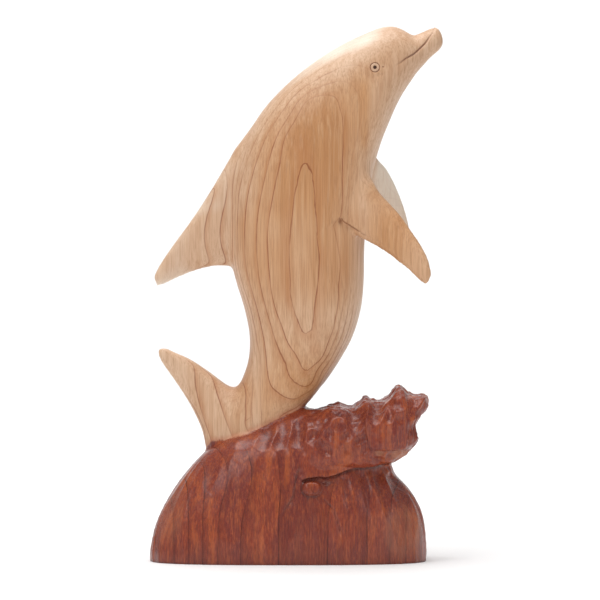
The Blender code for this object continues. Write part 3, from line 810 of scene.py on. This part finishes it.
def scatter(across, upward, columns, rows, seed):
    """Depth of scoops in uneven rows over a surface laid out flat."""
    dice = random.Random(seed)
    pitch = GOUGE_PITCH * BASE_LENGTH / 100
    result = np.zeros(len(across))
    for row in rows:
        for column in columns:
            middle = (column + 0.5 * (row % 2) + dice.uniform(-0.2, 0.2)) * pitch
            level = (row + dice.uniform(-0.2, 0.2)) * pitch * 0.85
            length = pitch * dice.uniform(0.65, 1.1)
            width = pitch * dice.uniform(0.5, 0.7)
            turn = dice.uniform(0.6, 1.9)
            share = dice.uniform(0.3, 0.65)
            x = across - middle
            z = upward - level
            along = x * math.cos(turn) + z * math.sin(turn)
            beside = z * math.cos(turn) - x * math.sin(turn)
            form = 1 - (along / length) ** 2 - (beside / width) ** 2
            result = np.maximum(result, GOUGE_DEPTH * share * form)
    return result


def scattered_gouges(points, outward):
    """Scoops over the top, back and end of the crest."""
    tail_x, tail_z = base(*TAIL_FOOT)
    height = points[:, 2] - base(0, CREST_MIDDLE)[1]
    around = np.arctan2(points[:, 1], height) * depth(CREST_ROUND)
    wrapped = scatter(points[:, 0], around, range(-1, 12), range(-6, 12), 4)
    wrapped *= rise(outward[:, 1], -0.35, 0)
    end = scatter(points[:, 1], height, range(-5, 6), range(-3, 4), 9)
    facing_end = rise(outward[:, 0], 0.55, 0.75)
    clear_of_tail = points[:, 0] - tail_x - 0.7 * (points[:, 2] - tail_z)
    on_crest = rise(clear_of_tail, 0, 0.05 * BASE_LENGTH) * rise(on_base(points)[1], 76, 84)
    return (wrapped * (1 - facing_end) + end * facing_end) * on_crest


def shoulder_flutes(points, outward):
    """Short flutes side by side on the shoulder, below the edge of the stain."""
    result = np.zeros(len(points))
    length, width = np.array(SHOULDER_SIZE) * BASE_LENGTH / 100
    for index in range(SHOULDER_FLUTES):
        place = np.array(SHOULDER_START) + index * np.array(SHOULDER_STEP)
        along, across = turned(points, base(*place), SHOULDER_LEAN[0] + index * SHOULDER_LEAN[1])
        form = (1 - (across / width) ** 2) * fall(np.abs(along) / length, 0.25, 1)
        share = SHOULDER_SHARE if index else SHOULDER_SHARE * FIRST_FLUTE_SHARE
        result = np.maximum(result, FLUTE_DEPTH * share * form)
    return result * frontal(outward, 0, 0.3)


def long_flutes(points, outward):
    """Long upright flutes down the front of the mound, shallower towards their ends."""
    result = np.zeros(len(points))
    for top_x, top_z, foot_x, foot_z, width, share in FLUTES:
        gap, place = line_distance(points, base, ((top_x, top_z), (foot_x, foot_z)))
        form = 1 - (gap / (width / 100 * BASE_LENGTH)) ** 2
        result = np.maximum(result, FLUTE_DEPTH * share * form * window(place, 0, 0.12, 0.35, 1))
    return result * frontal(outward, 0, 0.3)


def mound_flutes(points, outward):
    """Shallow upright tool marks all round the mound."""
    around = np.arctan2(points[:, 1], points[:, 0] * 0.6)
    level = points[:, 2] / BASE_HEIGHT
    wander = 0.35 * np.sin(5 * around + 1) + 0.25 * np.sin(11 * around + 6 * level)
    turn = np.mod(around * TOOL_MARKS / (2 * math.pi) + wander, 1)
    form = 1 - (2 * turn - 1) ** 2
    return GRAIN_DEPTH * form * fall(level, 0.84, 0.98) * fall(np.abs(outward[:, 2]), 0.5, 0.8)


def ledges(points, outward):
    """How far the face falls back beside the edges."""
    result = np.zeros(len(points))
    for line, height, reach, tail, _ in LEDGES:
        gap, place = line_distance(points, base, line)
        under = below_edge(gap, reach) * window(place, 0, 0.1, tail, 1)
        result = np.maximum(result, height * under)
    return result * frontal(outward, 0.1, 0.5)


def curl(points, outward):
    """Height of the small curl of water under the lip: flat, with rounded corners."""
    form = distance(points, base(*CURL_PLACE), base(*CURL_SIZE), CURL_POWER)
    return CURL_HEIGHT * fall(form, 0.7, 1.1) * frontal(outward, 0.1, 0.5)


def incision(points, outward):
    """The thin cut that runs down from the curl."""
    gap, place = line_distance(points, base, INCISION)
    line = bump(gap / INCISION_WIDTH) * window(place, 0, 0.2, 0.6, 1)
    return INCISION_DEPTH * line * frontal(outward, 0.2, 0.5)


def ripples(points):
    """Small uneven ripples left by the knife, strongest on the crest and none above the stain."""
    dice = random.Random(5)
    result = np.zeros(len(points))
    for _ in range(RIPPLE_WAVES):
        direction = np.array([dice.gauss(0, 1) for _ in range(3)]) * (1, 1, 0.6)
        direction /= np.linalg.norm(direction)
        length = dice.uniform(*RIPPLE_LENGTHS)
        result += np.sin(2 * math.pi * (points @ direction / length + dice.random()))
    along, level = on_base(points)
    on_crest = rise(level, 62, 80) * rise(along, -2, 10)
    place = fall(stain_height(points), -3, -0.5) * rise(points[:, 2], 0.0005, 0.004)
    return RIPPLE_HEIGHT * result * place * (0.2 + 0.8 * on_crest)


def refine(mesh, places, reach, cuts):
    """Smaller faces around the given places, so that fine cuts come out clean."""
    form = bmesh.new()
    form.from_mesh(mesh)
    points = np.array([vert.co[:] for vert in form.verts])
    near = np.zeros(len(points), dtype=bool)
    for place in places:
        near |= distance(points, place) < reach
    form.verts.index_update()
    edges = [edge for edge in form.edges if near[edge.verts[0].index] and near[edge.verts[1].index]]
    bmesh.ops.subdivide_edges(form, edges=edges, cuts=cuts, use_grid_fill=True)
    bmesh.ops.triangulate(form, faces=[face for face in form.faces if len(face.verts) > 4])
    form.to_mesh(mesh)
    form.free()


def carve(mesh):
    """Move each point of the skin inwards by the depth of the cuts there, and return those depths."""
    points, outward = read(mesh)
    cut = np.maximum(gouge_cut(points, outward), scattered_gouges(points, outward))
    cut += end_hollow(points, outward)
    cut += np.maximum(shoulder_flutes(points, outward), long_flutes(points, outward))
    cut = np.maximum(cut, mound_flutes(points, outward))
    cut += ledges(points, outward) + incision(points, outward) - curl(points, outward)
    cut += MOUTH_DEPTH * mouth_line(points) + EYE_CUT * np.minimum(eye_marks(points), 1)
    cut += CREASE_DEPTH * cheek_crease(points) + under_flipper(points, outward) + ripples(points)
    write(mesh, points - outward * cut[:, None])
    return cut


def simplify(mesh, triangles):
    """Fewer, larger faces where the form is plain."""
    piece = placed("fine", mesh)
    points = read(mesh)[0]
    marked = mouth_line(points) + eye_marks(points)
    plain = piece.vertex_groups.new(name="plain")
    for index in np.flatnonzero(marked < 0.05):
        plain.add((int(index),), 1, "REPLACE")
    mesh.calc_loop_triangles()
    fewer = piece.modifiers.new("Fewer faces", "DECIMATE")
    fewer.ratio = triangles / len(mesh.loop_triangles)
    fewer.vertex_group = "plain"
    fewer.use_collapse_triangulate = True
    return evaluated(piece)


def flat_underside(mesh):
    """Cut the block off at the ground and close it with one flat face."""
    form = bmesh.new()
    form.from_mesh(mesh)
    for vert in form.verts:
        if abs(vert.co.z) < VOXEL / 6:
            vert.co.z = 0
    everything = form.verts[:] + form.edges[:] + form.faces[:]
    ground = {"plane_co": (0, 0, 0), "plane_no": (0, 0, 1)}
    bmesh.ops.bisect_plane(form, geom=everything, clear_inner=True, **ground)
    rim = [edge for edge in form.edges if edge.is_boundary]
    bmesh.ops.contextual_create(form, geom=rim)
    bmesh.ops.recalc_face_normals(form, faces=form.faces)
    form.to_mesh(mesh)
    form.free()


def stain_height(points):
    """How far each point is above the edge of the stain, in millimetres."""
    edge = np.array(trace(base, STAIN_EDGE))
    level = np.interp(points[:, 0], edge[:, 0], edge[:, 1])
    lean = np.interp(points[:, 0], edge[:-1, 0], np.diff(edge[:, 1]) / np.diff(edge[:, 0]))
    return 1000 * (points[:, 2] - level) / np.sqrt(1 + np.clip(lean, -1, 1) ** 2)


def on_dolphin(places):
    """The x and z of places in millimetres, in percent of the dolphin's height."""
    along = places[:, 0] / (10 * DOLPHIN_HEIGHT)
    up = (places[:, 2] - 1000 * BASE_HEIGHT) / (10 * DOLPHIN_HEIGHT)
    return along, up


def grain_bends(places):
    """How far the bends move the rings at each place, in millimetres."""
    along, up = on_dolphin(places)
    result = np.zeros(len(places))
    for x, z, reach, height, amount in BENDS:
        result += amount * hill(along, x, reach) * hill(up, z, height)
    start, softness, rate = RING_FALL
    bent = rate * softness * np.logaddexp(0, (along - start) / softness)
    return result - bent * rise(up, *RING_FALL_HEIGHTS)


def dolphin_radius(places):
    """How far each place on the dolphin lies from the heart of the tree, in millimetres."""
    x, y, _ = places.T
    along, up = on_dolphin(places)
    fins = (
        (fall(along, -15, -12) * rise(up, 34, 38), FIN_GRAIN),
        (fall(along, -9.7, -5.3) * fall(up, 15.7, 23.2), FLUKE_GRAIN),
        (rise(along, 15, 19.5) * fall(up, 54, 61), FLIPPER_GRAIN),
    )
    for share, (limit, pace) in fins:
        y = y + share * (limit * np.tanh(pace * y / limit) - y)
    return np.hypot(x - HEART[0], y - HEART[1]) + grain_bends(places)


def wave_radius(places):
    """How far each place on the wave lies from the heart of the tree, in millimetres."""
    x, y, _ = places.T
    return np.hypot(x - HEART[0], WAVE_GRAIN_SHARE * y - HEART[1]) + grain_bends(places)


def ring_place(points, outward, radius):
    """Which ring each point lies in, with the share of it passed, and the rings per millimetre."""
    places = points * 1000
    here = radius(places)
    step = 0.1
    slope = np.stack([radius(places + step * axis) - here for axis in np.eye(3)], axis=1) / step
    slope -= outward * (slope * outward).sum(axis=1)[:, None]
    number = np.interp(here, RINGS, np.arange(len(RINGS)))
    width = np.diff(RINGS)[np.clip(number.astype(int), 0, len(RINGS) - 2)]
    return number, np.linalg.norm(slope, axis=1) / width


def dolphin_strength(points, number):
    """How clearly the rings show on the dolphin: faint on head, upper back, flippers and tips."""
    along, up = on_dolphin(points * 1000)
    fading = {
        "upper back": 0.8 * rise(up, 52, 72) * fall(number, 15, 18.3),
        "neck and head": 0.5 * rise(up, 68, 78),
        "head": 0.9 * rise(up, 84, 92),
        "right flank": 0.8 * rise(along, 11.5, 12.5) * rise(up, 22, 34) * fall(number, 18.3, 18.6),
        "flippers": 0.93 * rise(along, 16, 20) * window(up, 26, 38, 70, 76),
        "flipper's root": 0.9 * hill(along, 15.5, 3.2) * hill(up, 50, 6.5),
        "notch": 0.9 * hill(along, 12.2, 1.3) * hill(up, 50.6, 2.4),
        "fin's tip": 0.85 * fall(along, -24, -21.5) * rise(up, 30, 34),
        "fluke's tip": 0.9 * fall(along, -27, -24) * fall(up, 24, 28),
        "tail": 0.8 * hill(along, -8, 1.6) * fall(up, 14, 24),
    }
    return 1 - np.max(list(fading.values()), axis=0)


def wave_strength(points):
    """How clearly the rings show on the wave: not on the carved crest."""
    along, level = on_base(points)
    return (1 - 0.92 * rise(along, -6, 6) * rise(level, 56, 70)) * (1 - 0.4 * rise(level, 72, 86))


def wood_warmth(points, number):
    """How orange the pale wood is: most in the middle of the body, least on head and far flipper. The paler
    head and upper back are partly a painted highlight, and the pale far flipper is painted as lit.
    """
    along, up = on_dolphin(points * 1000)
    side = 1000 * points[:, 1]
    past_body = along - 18.4 - 0.28 * np.maximum(up - 58, 0)
    on_flipper = rise(past_body, -0.3, 2.4) * window(up, 32, 38, 72, 78)
    far_flipper = on_flipper * rise(side, 3, 12)
    changes = {
        "middle of the body": 0.65 * rise(number, 14.5, 18.5),
        "arch": 0.45 * hill(number, 19.75, 0.4) * window(up, 48, 62, 70, 80),
        # Paler towards the top: partly the wood's tone, partly a painted highlight from the light above
        "upper back": -0.5 * rise(up, 68, 96) * fall(along - 0.9 * (up - 90), 12, 22),
        "throat": 0.5 * hill(along, 18.6, 0.9) * window(up, 66, 74, 82, 88),
        "near flipper": 0.25 * on_flipper * rise(-side, 3, 12),
        "flipper's tip": -0.35 * rise(along, 24, 34) * fall(up, 54, 58),
        "fin's tip": -0.85 * fall(along, -30, -17) * rise(up, 30, 36),
        "fluke's tip": -0.35 * fall(along, -29, -19) * fall(up, 24, 30),
        "back": -0.35 * fall(along, -12, -6) * window(up, 50, 56, 64, 74),
        "belly": -0.3 * hill(up, 28, 8),
        "tail": 0.35 * rise(along, -17, -13) * fall(up, 8, 20),
    }
    warmth = 0.1 + sum(changes.values())
    # The far flipper is painted pale, standing in for the light that falls on it
    return warmth * (1 - far_flipper) - 0.4 * far_flipper


def pupil_and_painted_shade(points):
    """Where the eye, the mouth and the flipper's edge are dark: the pupil most, in its own dark colour; the
    eye's ring and corner, the mouth's line, and the shadow under the flipper's edge and in its notch are
    painted shade.
    """
    gap, place = line_distance(points, figure, FLIPPER_EDGE)
    # A painted shadow line under the near flipper's edge, and painted shade in its notch
    edge = bump(gap / FLIPPER_EDGE_SHADOW) * window(place, 0.2, 0.35, 0.85, 1)
    notch = fall(distance(points, figure(*NOTCH), NOTCH_SIZE), 0.4, 1.2)
    edge = np.maximum(edge, notch) * (points[:, 1] < 0)
    return np.clip(0.65 * eye_marks(points) + 0.45 * mouth_line(points) + 0.4 * edge, 0, 1)


def stain_and_shade_in_crevices(points, outward):
    """Painted shade, partly gathered stain, under the lip, around the curl, in the patch below the lip and
    along the incision and the other edges; and darker towards the bottom, darkest along the lowest
    millimetre.
    """
    along, level = on_base(points)
    curl_edge = distance(points, base(*CURL_PLACE), base(*CURL_SIZE), CURL_POWER)
    # Painted shade round the curl's edge, fainter towards its right
    around = bump((curl_edge - 1.1) / 0.25) * rise(level, 46, 52)
    around *= 1 - 0.7 * rise(along - CURL_PLACE[0], 1, 3.5)
    # A painted shadow patch below the lip, beside the curl
    hollow = fall(distance(points, base(*CURL_SHADE_PATCH), base(*CURL_SHADE_PATCH_SIZE)), 0.4, 1.2)
    gap, place = line_distance(points, base, INCISION)
    cut = bump(gap / INCISION_WIDTH) * fall(place, 0.5, 0.9)
    result = np.max([0.85 * around, 0.85 * 0.7 * hollow, 0.25 * cut], axis=0)
    # Painted shade just below each edge, partly gathered stain
    for line, _, _, tail, share in LEDGES:
        gap, place = line_distance(points, base, line)
        under = window(gap, -CREVICE_WIDTH / 3, 0, 0, CREVICE_WIDTH)
        result = np.maximum(result, share * under * fall(place, tail, 1))
    # Darker towards the bottom, darkest along the lowest millimetre
    foot = 0.6 * fall(points[:, 2], 0.0003, 0.0014) + 0.2 * fall(points[:, 2], 0, 0.016)
    return np.maximum(result * frontal(outward, 0.05, 0.3), foot)


def thin_stain_and_highlight(points, outward):
    """Where the wood shows through the stain; on the mound's right end partly a painted highlight."""
    result = np.zeros(len(points))
    for x, z, length, height, share in THIN_STAIN_AND_HIGHLIGHT:
        gap = distance(points, base(x, z), base(length, height))
        result = np.maximum(result, share * fall(gap, 0.5, 1.1))
    return result * frontal(outward, 0.1, 0.4)


def paint(mesh, fine_points, fine_cut):
    """Keep on the mesh what the wood's colour needs: rings, stain, cuts, dark marks and painted shade."""
    tree = KDTree(len(fine_points))
    for index, point in enumerate(fine_points):
        tree.insert(point, index)
    tree.balance()
    points, outward = read(mesh)
    nearest = np.array([tree.find(point)[1] for point in points])
    dolphin_ring, dolphin_rate = ring_place(points, outward, dolphin_radius)
    wave_ring, wave_rate = ring_place(points, outward, wave_radius)
    values = {
        "dolphin_ring": dolphin_ring,
        "dolphin_rate": dolphin_rate,
        "dolphin_strength": dolphin_strength(points, dolphin_ring),
        "wave_ring": wave_ring,
        "wave_rate": wave_rate,
        "wave_strength": wave_strength(points),
        "eye_white": eye_white(points),
        "warmth": wood_warmth(points, dolphin_ring),
        "above_stain": stain_height(points),
        # Thin stain, and partly a painted highlight on the mound's right end
        "thin_stain_and_highlight": thin_stain_and_highlight(points, outward),
        "cut_depth": fine_cut[nearest] * 1000,
        # The pupil's own dark colour, and painted shade in the eye, along the mouth and under the flipper
        "pupil_and_painted_shade": pupil_and_painted_shade(points),
        # Painted shade in the cuts and under the lip, partly gathered stain, and darker towards the bottom
        "crevice_stain_and_shade": stain_and_shade_in_crevices(points, outward),
    }
    for name, value in values.items():
        mesh.attributes.new(name, "FLOAT", "POINT").data.foreach_set("value", value.astype(np.float32))


def carving():
    """The whole carving as one mesh."""
    fins = [blade(stations) for stations in (BACK_FIN, FLUKE, NEAR_FLIPPER, FAR_FLIPPER)]
    mesh = fuse([dolphin_body(), *fins, mound(), crest()])
    blend_roots(mesh)
    mesh = finer(mesh)
    refine(mesh, trace(figure, MOUTH) + trace(base, smooth_rows(LIP, 60)), *LINE_FINENESS)
    refine(mesh, trace(figure, FLIPPER_EDGE), *LINE_FINENESS)
    refine(mesh, trace(figure, (EYE, EYE_FRONT)), *EYE_FINENESS)
    cut = carve(mesh)
    fine_points = read(mesh)[0]
    mesh = simplify(mesh, TRIANGLES)
    flat_underside(mesh)
    paint(mesh, fine_points, cut)
    mesh.shade_smooth()
    mesh.set_sharp_from_angle(angle=math.radians(SHARP_ANGLE))
    return mesh


class Value:
    """A number or colour that a material's nodes work out; each sum or product adds a node."""

    def __init__(self, shader, socket):
        self.shader = shader
        self.socket = socket

    def math(self, operation, other=0):
        return self.shader.add("Math", 0, {0: self, 1: other}, operation=operation)

    def __add__(self, other):
        return self.math("ADD", other)

    def __sub__(self, other):
        return self.math("SUBTRACT", other)

    def __mul__(self, other):
        return self.math("MULTIPLY", other)

    def __truediv__(self, other):
        return self.math("DIVIDE", other)

    def ramp(self, low, high, start=0, end=1):
        """The value's place between low and high, smoothly, as a number from start to end."""
        inputs = {"Value": self, "From Min": low, "From Max": high, "To Min": start, "To Max": end}
        return self.shader.add("MapRange", 0, inputs, interpolation_type="SMOOTHSTEP")


class Shader:
    """The nodes of a material, with places on the piece in millimetres."""

    def __init__(self, name):
        self.material = bpy.data.materials.new(name)
        self.material.use_nodes = True
        self.tree = self.material.node_tree
        place = self.add("TexCoord", "Object", {})
        self.place = self.add("VectorMath", 0, {0: place, 1: (1000, 1000, 1000)}, operation="MULTIPLY")

    def fill(self, node, inputs):
        """Give a node its inputs: numbers as they are, and links to worked-out values."""
        for name, value in inputs.items():
            if isinstance(value, Value):
                self.tree.links.new(value.socket, node.inputs[name])
            else:
                node.inputs[name].default_value = value

    def add(self, kind, output, inputs, **settings):
        """A new node of some kind, and one of its outputs as a value."""
        node = self.tree.nodes.new("ShaderNode" + kind)
        for name, setting in settings.items():
            setattr(node, name, setting)
        self.fill(node, inputs)
        return Value(self, node.outputs[output])

    def attribute(self, name):
        """What is kept on the mesh under a name."""
        return self.add("Attribute", "Fac", {}, attribute_name=name)

    def noise(self, stretch, detail=2, roughness=0.5):
        """Cloudy noise from 0 to 1; stretch is the size of its clouds along each axis, in mm."""
        place = self.add("VectorMath", 0, {0: self.place, 1: stretch}, operation="DIVIDE")
        inputs = {"Vector": place, "Scale": 1, "Detail": detail, "Roughness": roughness}
        return self.add("TexNoise", "Fac", inputs)

    def mix(self, share, first, second):
        """One colour turned into another by a share; a colour can be given as it looks on screen."""
        colours = [item if isinstance(item, Value) else srgb(*item) for item in (first, second)]
        return self.add("Mix", 2, {"Factor": share, 6: colours[0], 7: colours[1]}, data_type="RGBA")

    def layers(self, colour, rows):
        """A colour with others laid over it: each row has a share and a colour."""
        for share, tint in rows:
            colour = self.mix(share, colour, tint)
        return colour


def srgb(red, green, blue):
    """A colour given as it looks on screen, 0 to 255."""
    values = []
    for value in (red, green, blue):
        value /= 255
        values.append(value / 12.92 if value <= 0.04045 else ((value + 0.055) / 1.055) ** 2.4)
    return (*values, 1)


def ring_lines(shader, name):
    """The thin dark line at each ring's edge, and the soft shade that leads up to it."""
    clear = shader.attribute(name + "_strength")
    rate = shader.attribute(name + "_rate").math("MAXIMUM", LEAST_RATE)
    wobble = shader.noise((6, 6, 22), 3) - 0.5
    passed = (shader.attribute(name + "_ring") + wobble * 0.9 * rate).math("FRACT")
    remaining = (passed * -1 + 1) / rate
    crowding = rate.ramp(0.22, 0.55, 1, 0.3)
    strength = shader.noise((9, 9, 26), 3).ramp(0.36, 0.58, 0.45, 1) * crowding
    line = remaining.math("MINIMUM", passed / rate).ramp(0.5, 0.06) * strength
    return line * clear, passed.ramp(0.62, 1) * crowding * clear


def pale_wood(shader, fibre, fleck):
    """Close-grained pale wood with fine upright fibres, more orange in the middle of the body."""
    line, shade = ring_lines(shader, "dolphin")
    cloud = shader.noise((30, 30, 70))
    streak = shader.noise((2.4, 2.4, 70), 3)
    bright = shader.noise((1, 1, 90))
    tone = (cloud * 0.5 + streak * 0.6).ramp(0.38, 0.74)
    warmth = shader.attribute("warmth") + (cloud - 0.5) * 0.8
    cool = shader.mix(tone, (222, 188, 158), (204, 163, 130))
    warm = shader.mix(tone, (204, 153, 108), (186, 131, 84))
    layers = (
        # Near-white where the warmth is low: the far flipper painted as lit, and the head and upper back
        # partly a painted highlight
        (warmth.ramp(-0.1, -0.6), (240, 227, 210)),
        (bright.ramp(0.5, 0.7, 0, 0.2), (226, 194, 160)),
        (fibre.ramp(0.42, 0.72, 0, 0.5) * warmth.ramp(-0.5, 0.3, 0.3, 1), (164, 112, 72)),
        (shade * 0.36, (178, 112, 64)),
        (fleck * warmth.ramp(0, 0.6, 0.08, 0.28), (150, 104, 74)),
        (shader.attribute("eye_white") * 0.25, (226, 206, 186)),
        (line * 0.72, (132, 62, 30)),
    )
    return shader.layers(shader.mix(warmth.ramp(0, 1), cool, warm), layers)


def stained_wood(shader, fibre, fleck):
    """Red-brown stain that lies orange on some fibres and dark in the hollows, where the darkening in the
    cuts is partly gathered stain and partly painted shade.
    """
    line, shade = ring_lines(shader, "wave")
    patch = shader.noise((5, 5, 34), 3, 0.6)
    zone = shader.noise((10, 10, 36), 3)
    mottle = shader.noise((0.9, 0.9, 2.6), 2, 0.6)
    thread = shader.noise((0.8, 0.8, 22), 2, 0.6)
    layers = (
        (patch.ramp(0.47, 0.66), (172, 86, 48)),
        (zone.ramp(0.47, 0.6, 0, 0.6), (112, 50, 48)),
        # Darker in the cuts: partly gathered stain, partly painted shade
        (shader.attribute("cut_depth").ramp(0.35, 1.8, 0, 0.55), (104, 44, 42)),
        (mottle.ramp(0.5, 0.68, 0, 0.4), (98, 40, 30)),
        (mottle.ramp(0.48, 0.34, 0, 0.35), (184, 96, 58)),
        (thread.ramp(0.5, 0.7, 0, 0.5), (186, 100, 60)),
        (fibre.ramp(0.42, 0.72, 0, 0.55), (100, 42, 30)),
        (shade * 0.35, (96, 38, 30)),
        (line * 0.85, (72, 26, 20)),
        (fleck * 0.5, (78, 30, 24)),
        # Wood showing through the thin stain; on the mound's right end partly a painted highlight
        (shader.attribute("thin_stain_and_highlight") * patch.ramp(0.3, 0.6, 0.25, 0.6), (180, 122, 92)),
        # Painted shade under the lip, round the curl and along the edges, partly gathered stain; darker
        # towards the bottom
        (shader.attribute("crevice_stain_and_shade") * 0.75, (58, 20, 16)),
    )
    return shader.layers((140, 62, 44), layers)


def wood():
    """Oiled pale wood, and red-brown stain below the stain's edge."""
    shader = Shader("Carved wood")
    fibre = shader.noise((0.6, 0.6, 26), 3, 0.6)
    fleck = shader.noise((0.28, 0.28, 7), 1).ramp(0.66, 0.74)
    wobble = shader.noise((2.5, 2.5, 2.5)) - 0.5
    bleed = shader.noise((0.6, 0.6, 6)) - 0.5
    edge = shader.attribute("above_stain") + wobble * 1.6 + bleed * 1.4
    above = edge.ramp(-0.5, 0.7)
    pale = shader.mix(edge.ramp(0.2, 3.2, 0.45, 0), pale_wood(shader, fibre, fleck), (190, 110, 80))
    # The pupil's own dark colour, and painted shade in the eye's ring and corner, along the mouth and under
    # the near flipper's edge
    marks = shader.attribute("pupil_and_painted_shade")
    layers = (
        (marks.ramp(0, 0.5, 0, 0.8), (128, 76, 46)),
        (marks.ramp(0.45, 1, 0, 0.9), (50, 30, 22)),
    )
    colour = shader.layers(shader.mix(above, stained_wood(shader, fibre, fleck), pale), layers)
    gloss = above.ramp(0, 1, 0.25, 0.4) + fibre.ramp(0.3, 0.7, -0.04, 0.08)
    height = fibre * 0.5 + fleck * -0.6
    relief = shader.add("Bump", 0, {"Strength": 0.35, "Distance": 0.0002, "Height": height})
    surface = {"Base Color": colour, "Roughness": gloss, "Specular IOR Level": 0.4, "Normal": relief}
    shader.fill(shader.tree.nodes["Principled BSDF"], surface)
    return shader.material


def aim(item, place, direction):
    """Put a camera or a lamp in its place, looking in a direction."""
    item.location = place
    item.rotation_euler = direction.to_track_quat("-Z", "Y").to_euler()


def camera():
    """The photograph's view: level, from the dolphin's left side."""
    data = bpy.data.cameras.new("Camera")
    item = placed("Camera", data)
    tilt = math.radians(CAMERA_HEIGHT)
    back = Vector((0, -math.cos(tilt), math.sin(tilt)))
    aim(item, Vector(CAMERA_TARGET) + back * CAMERA_DISTANCE, -back)
    data.sensor_width = 36
    data.lens = data.sensor_width * CAMERA_DISTANCE / (PICTURE * POINT_SIZE)
    bpy.context.scene.camera = item


def backdrop():
    """A white floor that curves up into a wall behind the carving."""
    profile = [(FLOOR_FRONT, 0), (CURVE_START, 0)]
    for step in range(1, CURVE_STEPS + 1):
        angle = math.pi / 2 * step / CURVE_STEPS
        profile.append((CURVE_START + CURVE_RADIUS * math.sin(angle), CURVE_RADIUS * (1 - math.cos(angle))))
    profile.append((CURVE_START + CURVE_RADIUS, WALL_TOP))
    form = bmesh.new()
    rows = [[form.verts.new((x, y, z)) for x in (-FLOOR_SIDE, FLOOR_SIDE)] for y, z in profile]
    for one, two in zip(rows, rows[1:]):
        form.faces.new((one[0], one[1], two[1], two[0]))
    data = bpy.data.meshes.new("Floor")
    form.to_mesh(data)
    form.free()
    data.shade_smooth()
    white = bpy.data.materials.new("Floor")
    white.use_nodes = True
    surface = white.node_tree.nodes["Principled BSDF"]
    surface.inputs["Base Color"].default_value = (FLOOR_WHITE, FLOOR_WHITE, FLOOR_WHITE, 1)
    surface.inputs["Roughness"].default_value = FLOOR_ROUGHNESS
    data.materials.append(white)
    return placed("Floor", data)


def studio():
    """The floor and backdrop, and soft white light from above and the left."""
    floor = backdrop()
    floor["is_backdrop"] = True

    world = bpy.data.worlds.new("Studio")
    world.use_nodes = True
    background = world.node_tree.nodes["Background"]
    background.inputs["Color"].default_value = (1, 1, 1, 1)
    background.inputs["Strength"].default_value = WORLD_LIGHT
    bpy.context.scene.world = world
    for name, place, size, power, target in LAMPS:
        data = bpy.data.lights.new(name, "AREA")
        data.energy = power
        data.size = size
        aim(placed(name, data), place, Vector(target) - Vector(place))


def write_sizes(before):
    """Work out the corners of the CAD model's box and the visual model's as plain numbers; nothing is kept.
    """
    for name, box in (("cad", before), ("visual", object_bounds())):
        [[float(value) for value in corner] for corner in box]


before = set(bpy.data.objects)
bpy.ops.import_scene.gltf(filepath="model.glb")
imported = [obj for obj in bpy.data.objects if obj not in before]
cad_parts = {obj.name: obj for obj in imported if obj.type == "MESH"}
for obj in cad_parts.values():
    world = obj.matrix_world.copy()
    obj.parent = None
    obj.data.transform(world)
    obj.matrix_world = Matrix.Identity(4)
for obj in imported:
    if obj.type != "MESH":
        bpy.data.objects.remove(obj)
cad_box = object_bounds()
low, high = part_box(NODE)
DOLPHIN_HEIGHT = DOLPHIN_SHARE * (high.z - low.z)
BASE_HEIGHT = BASE_SHARE * (high.z - low.z)
BASE_LENGTH = LENGTH_SHARE * (high.x - low.x)
BLOCK_DEPTH = DEPTH_SHARE * (high.y - low.y)

sculpture = placed("sculpture", carving())
sculpture.data.materials.clear()
sculpture.data.materials.append(wood())
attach(sculpture, "root")
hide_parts(NODE)

camera()
studio()
bpy.context.scene.view_settings.view_transform = "Standard"
write_sizes(cad_box)
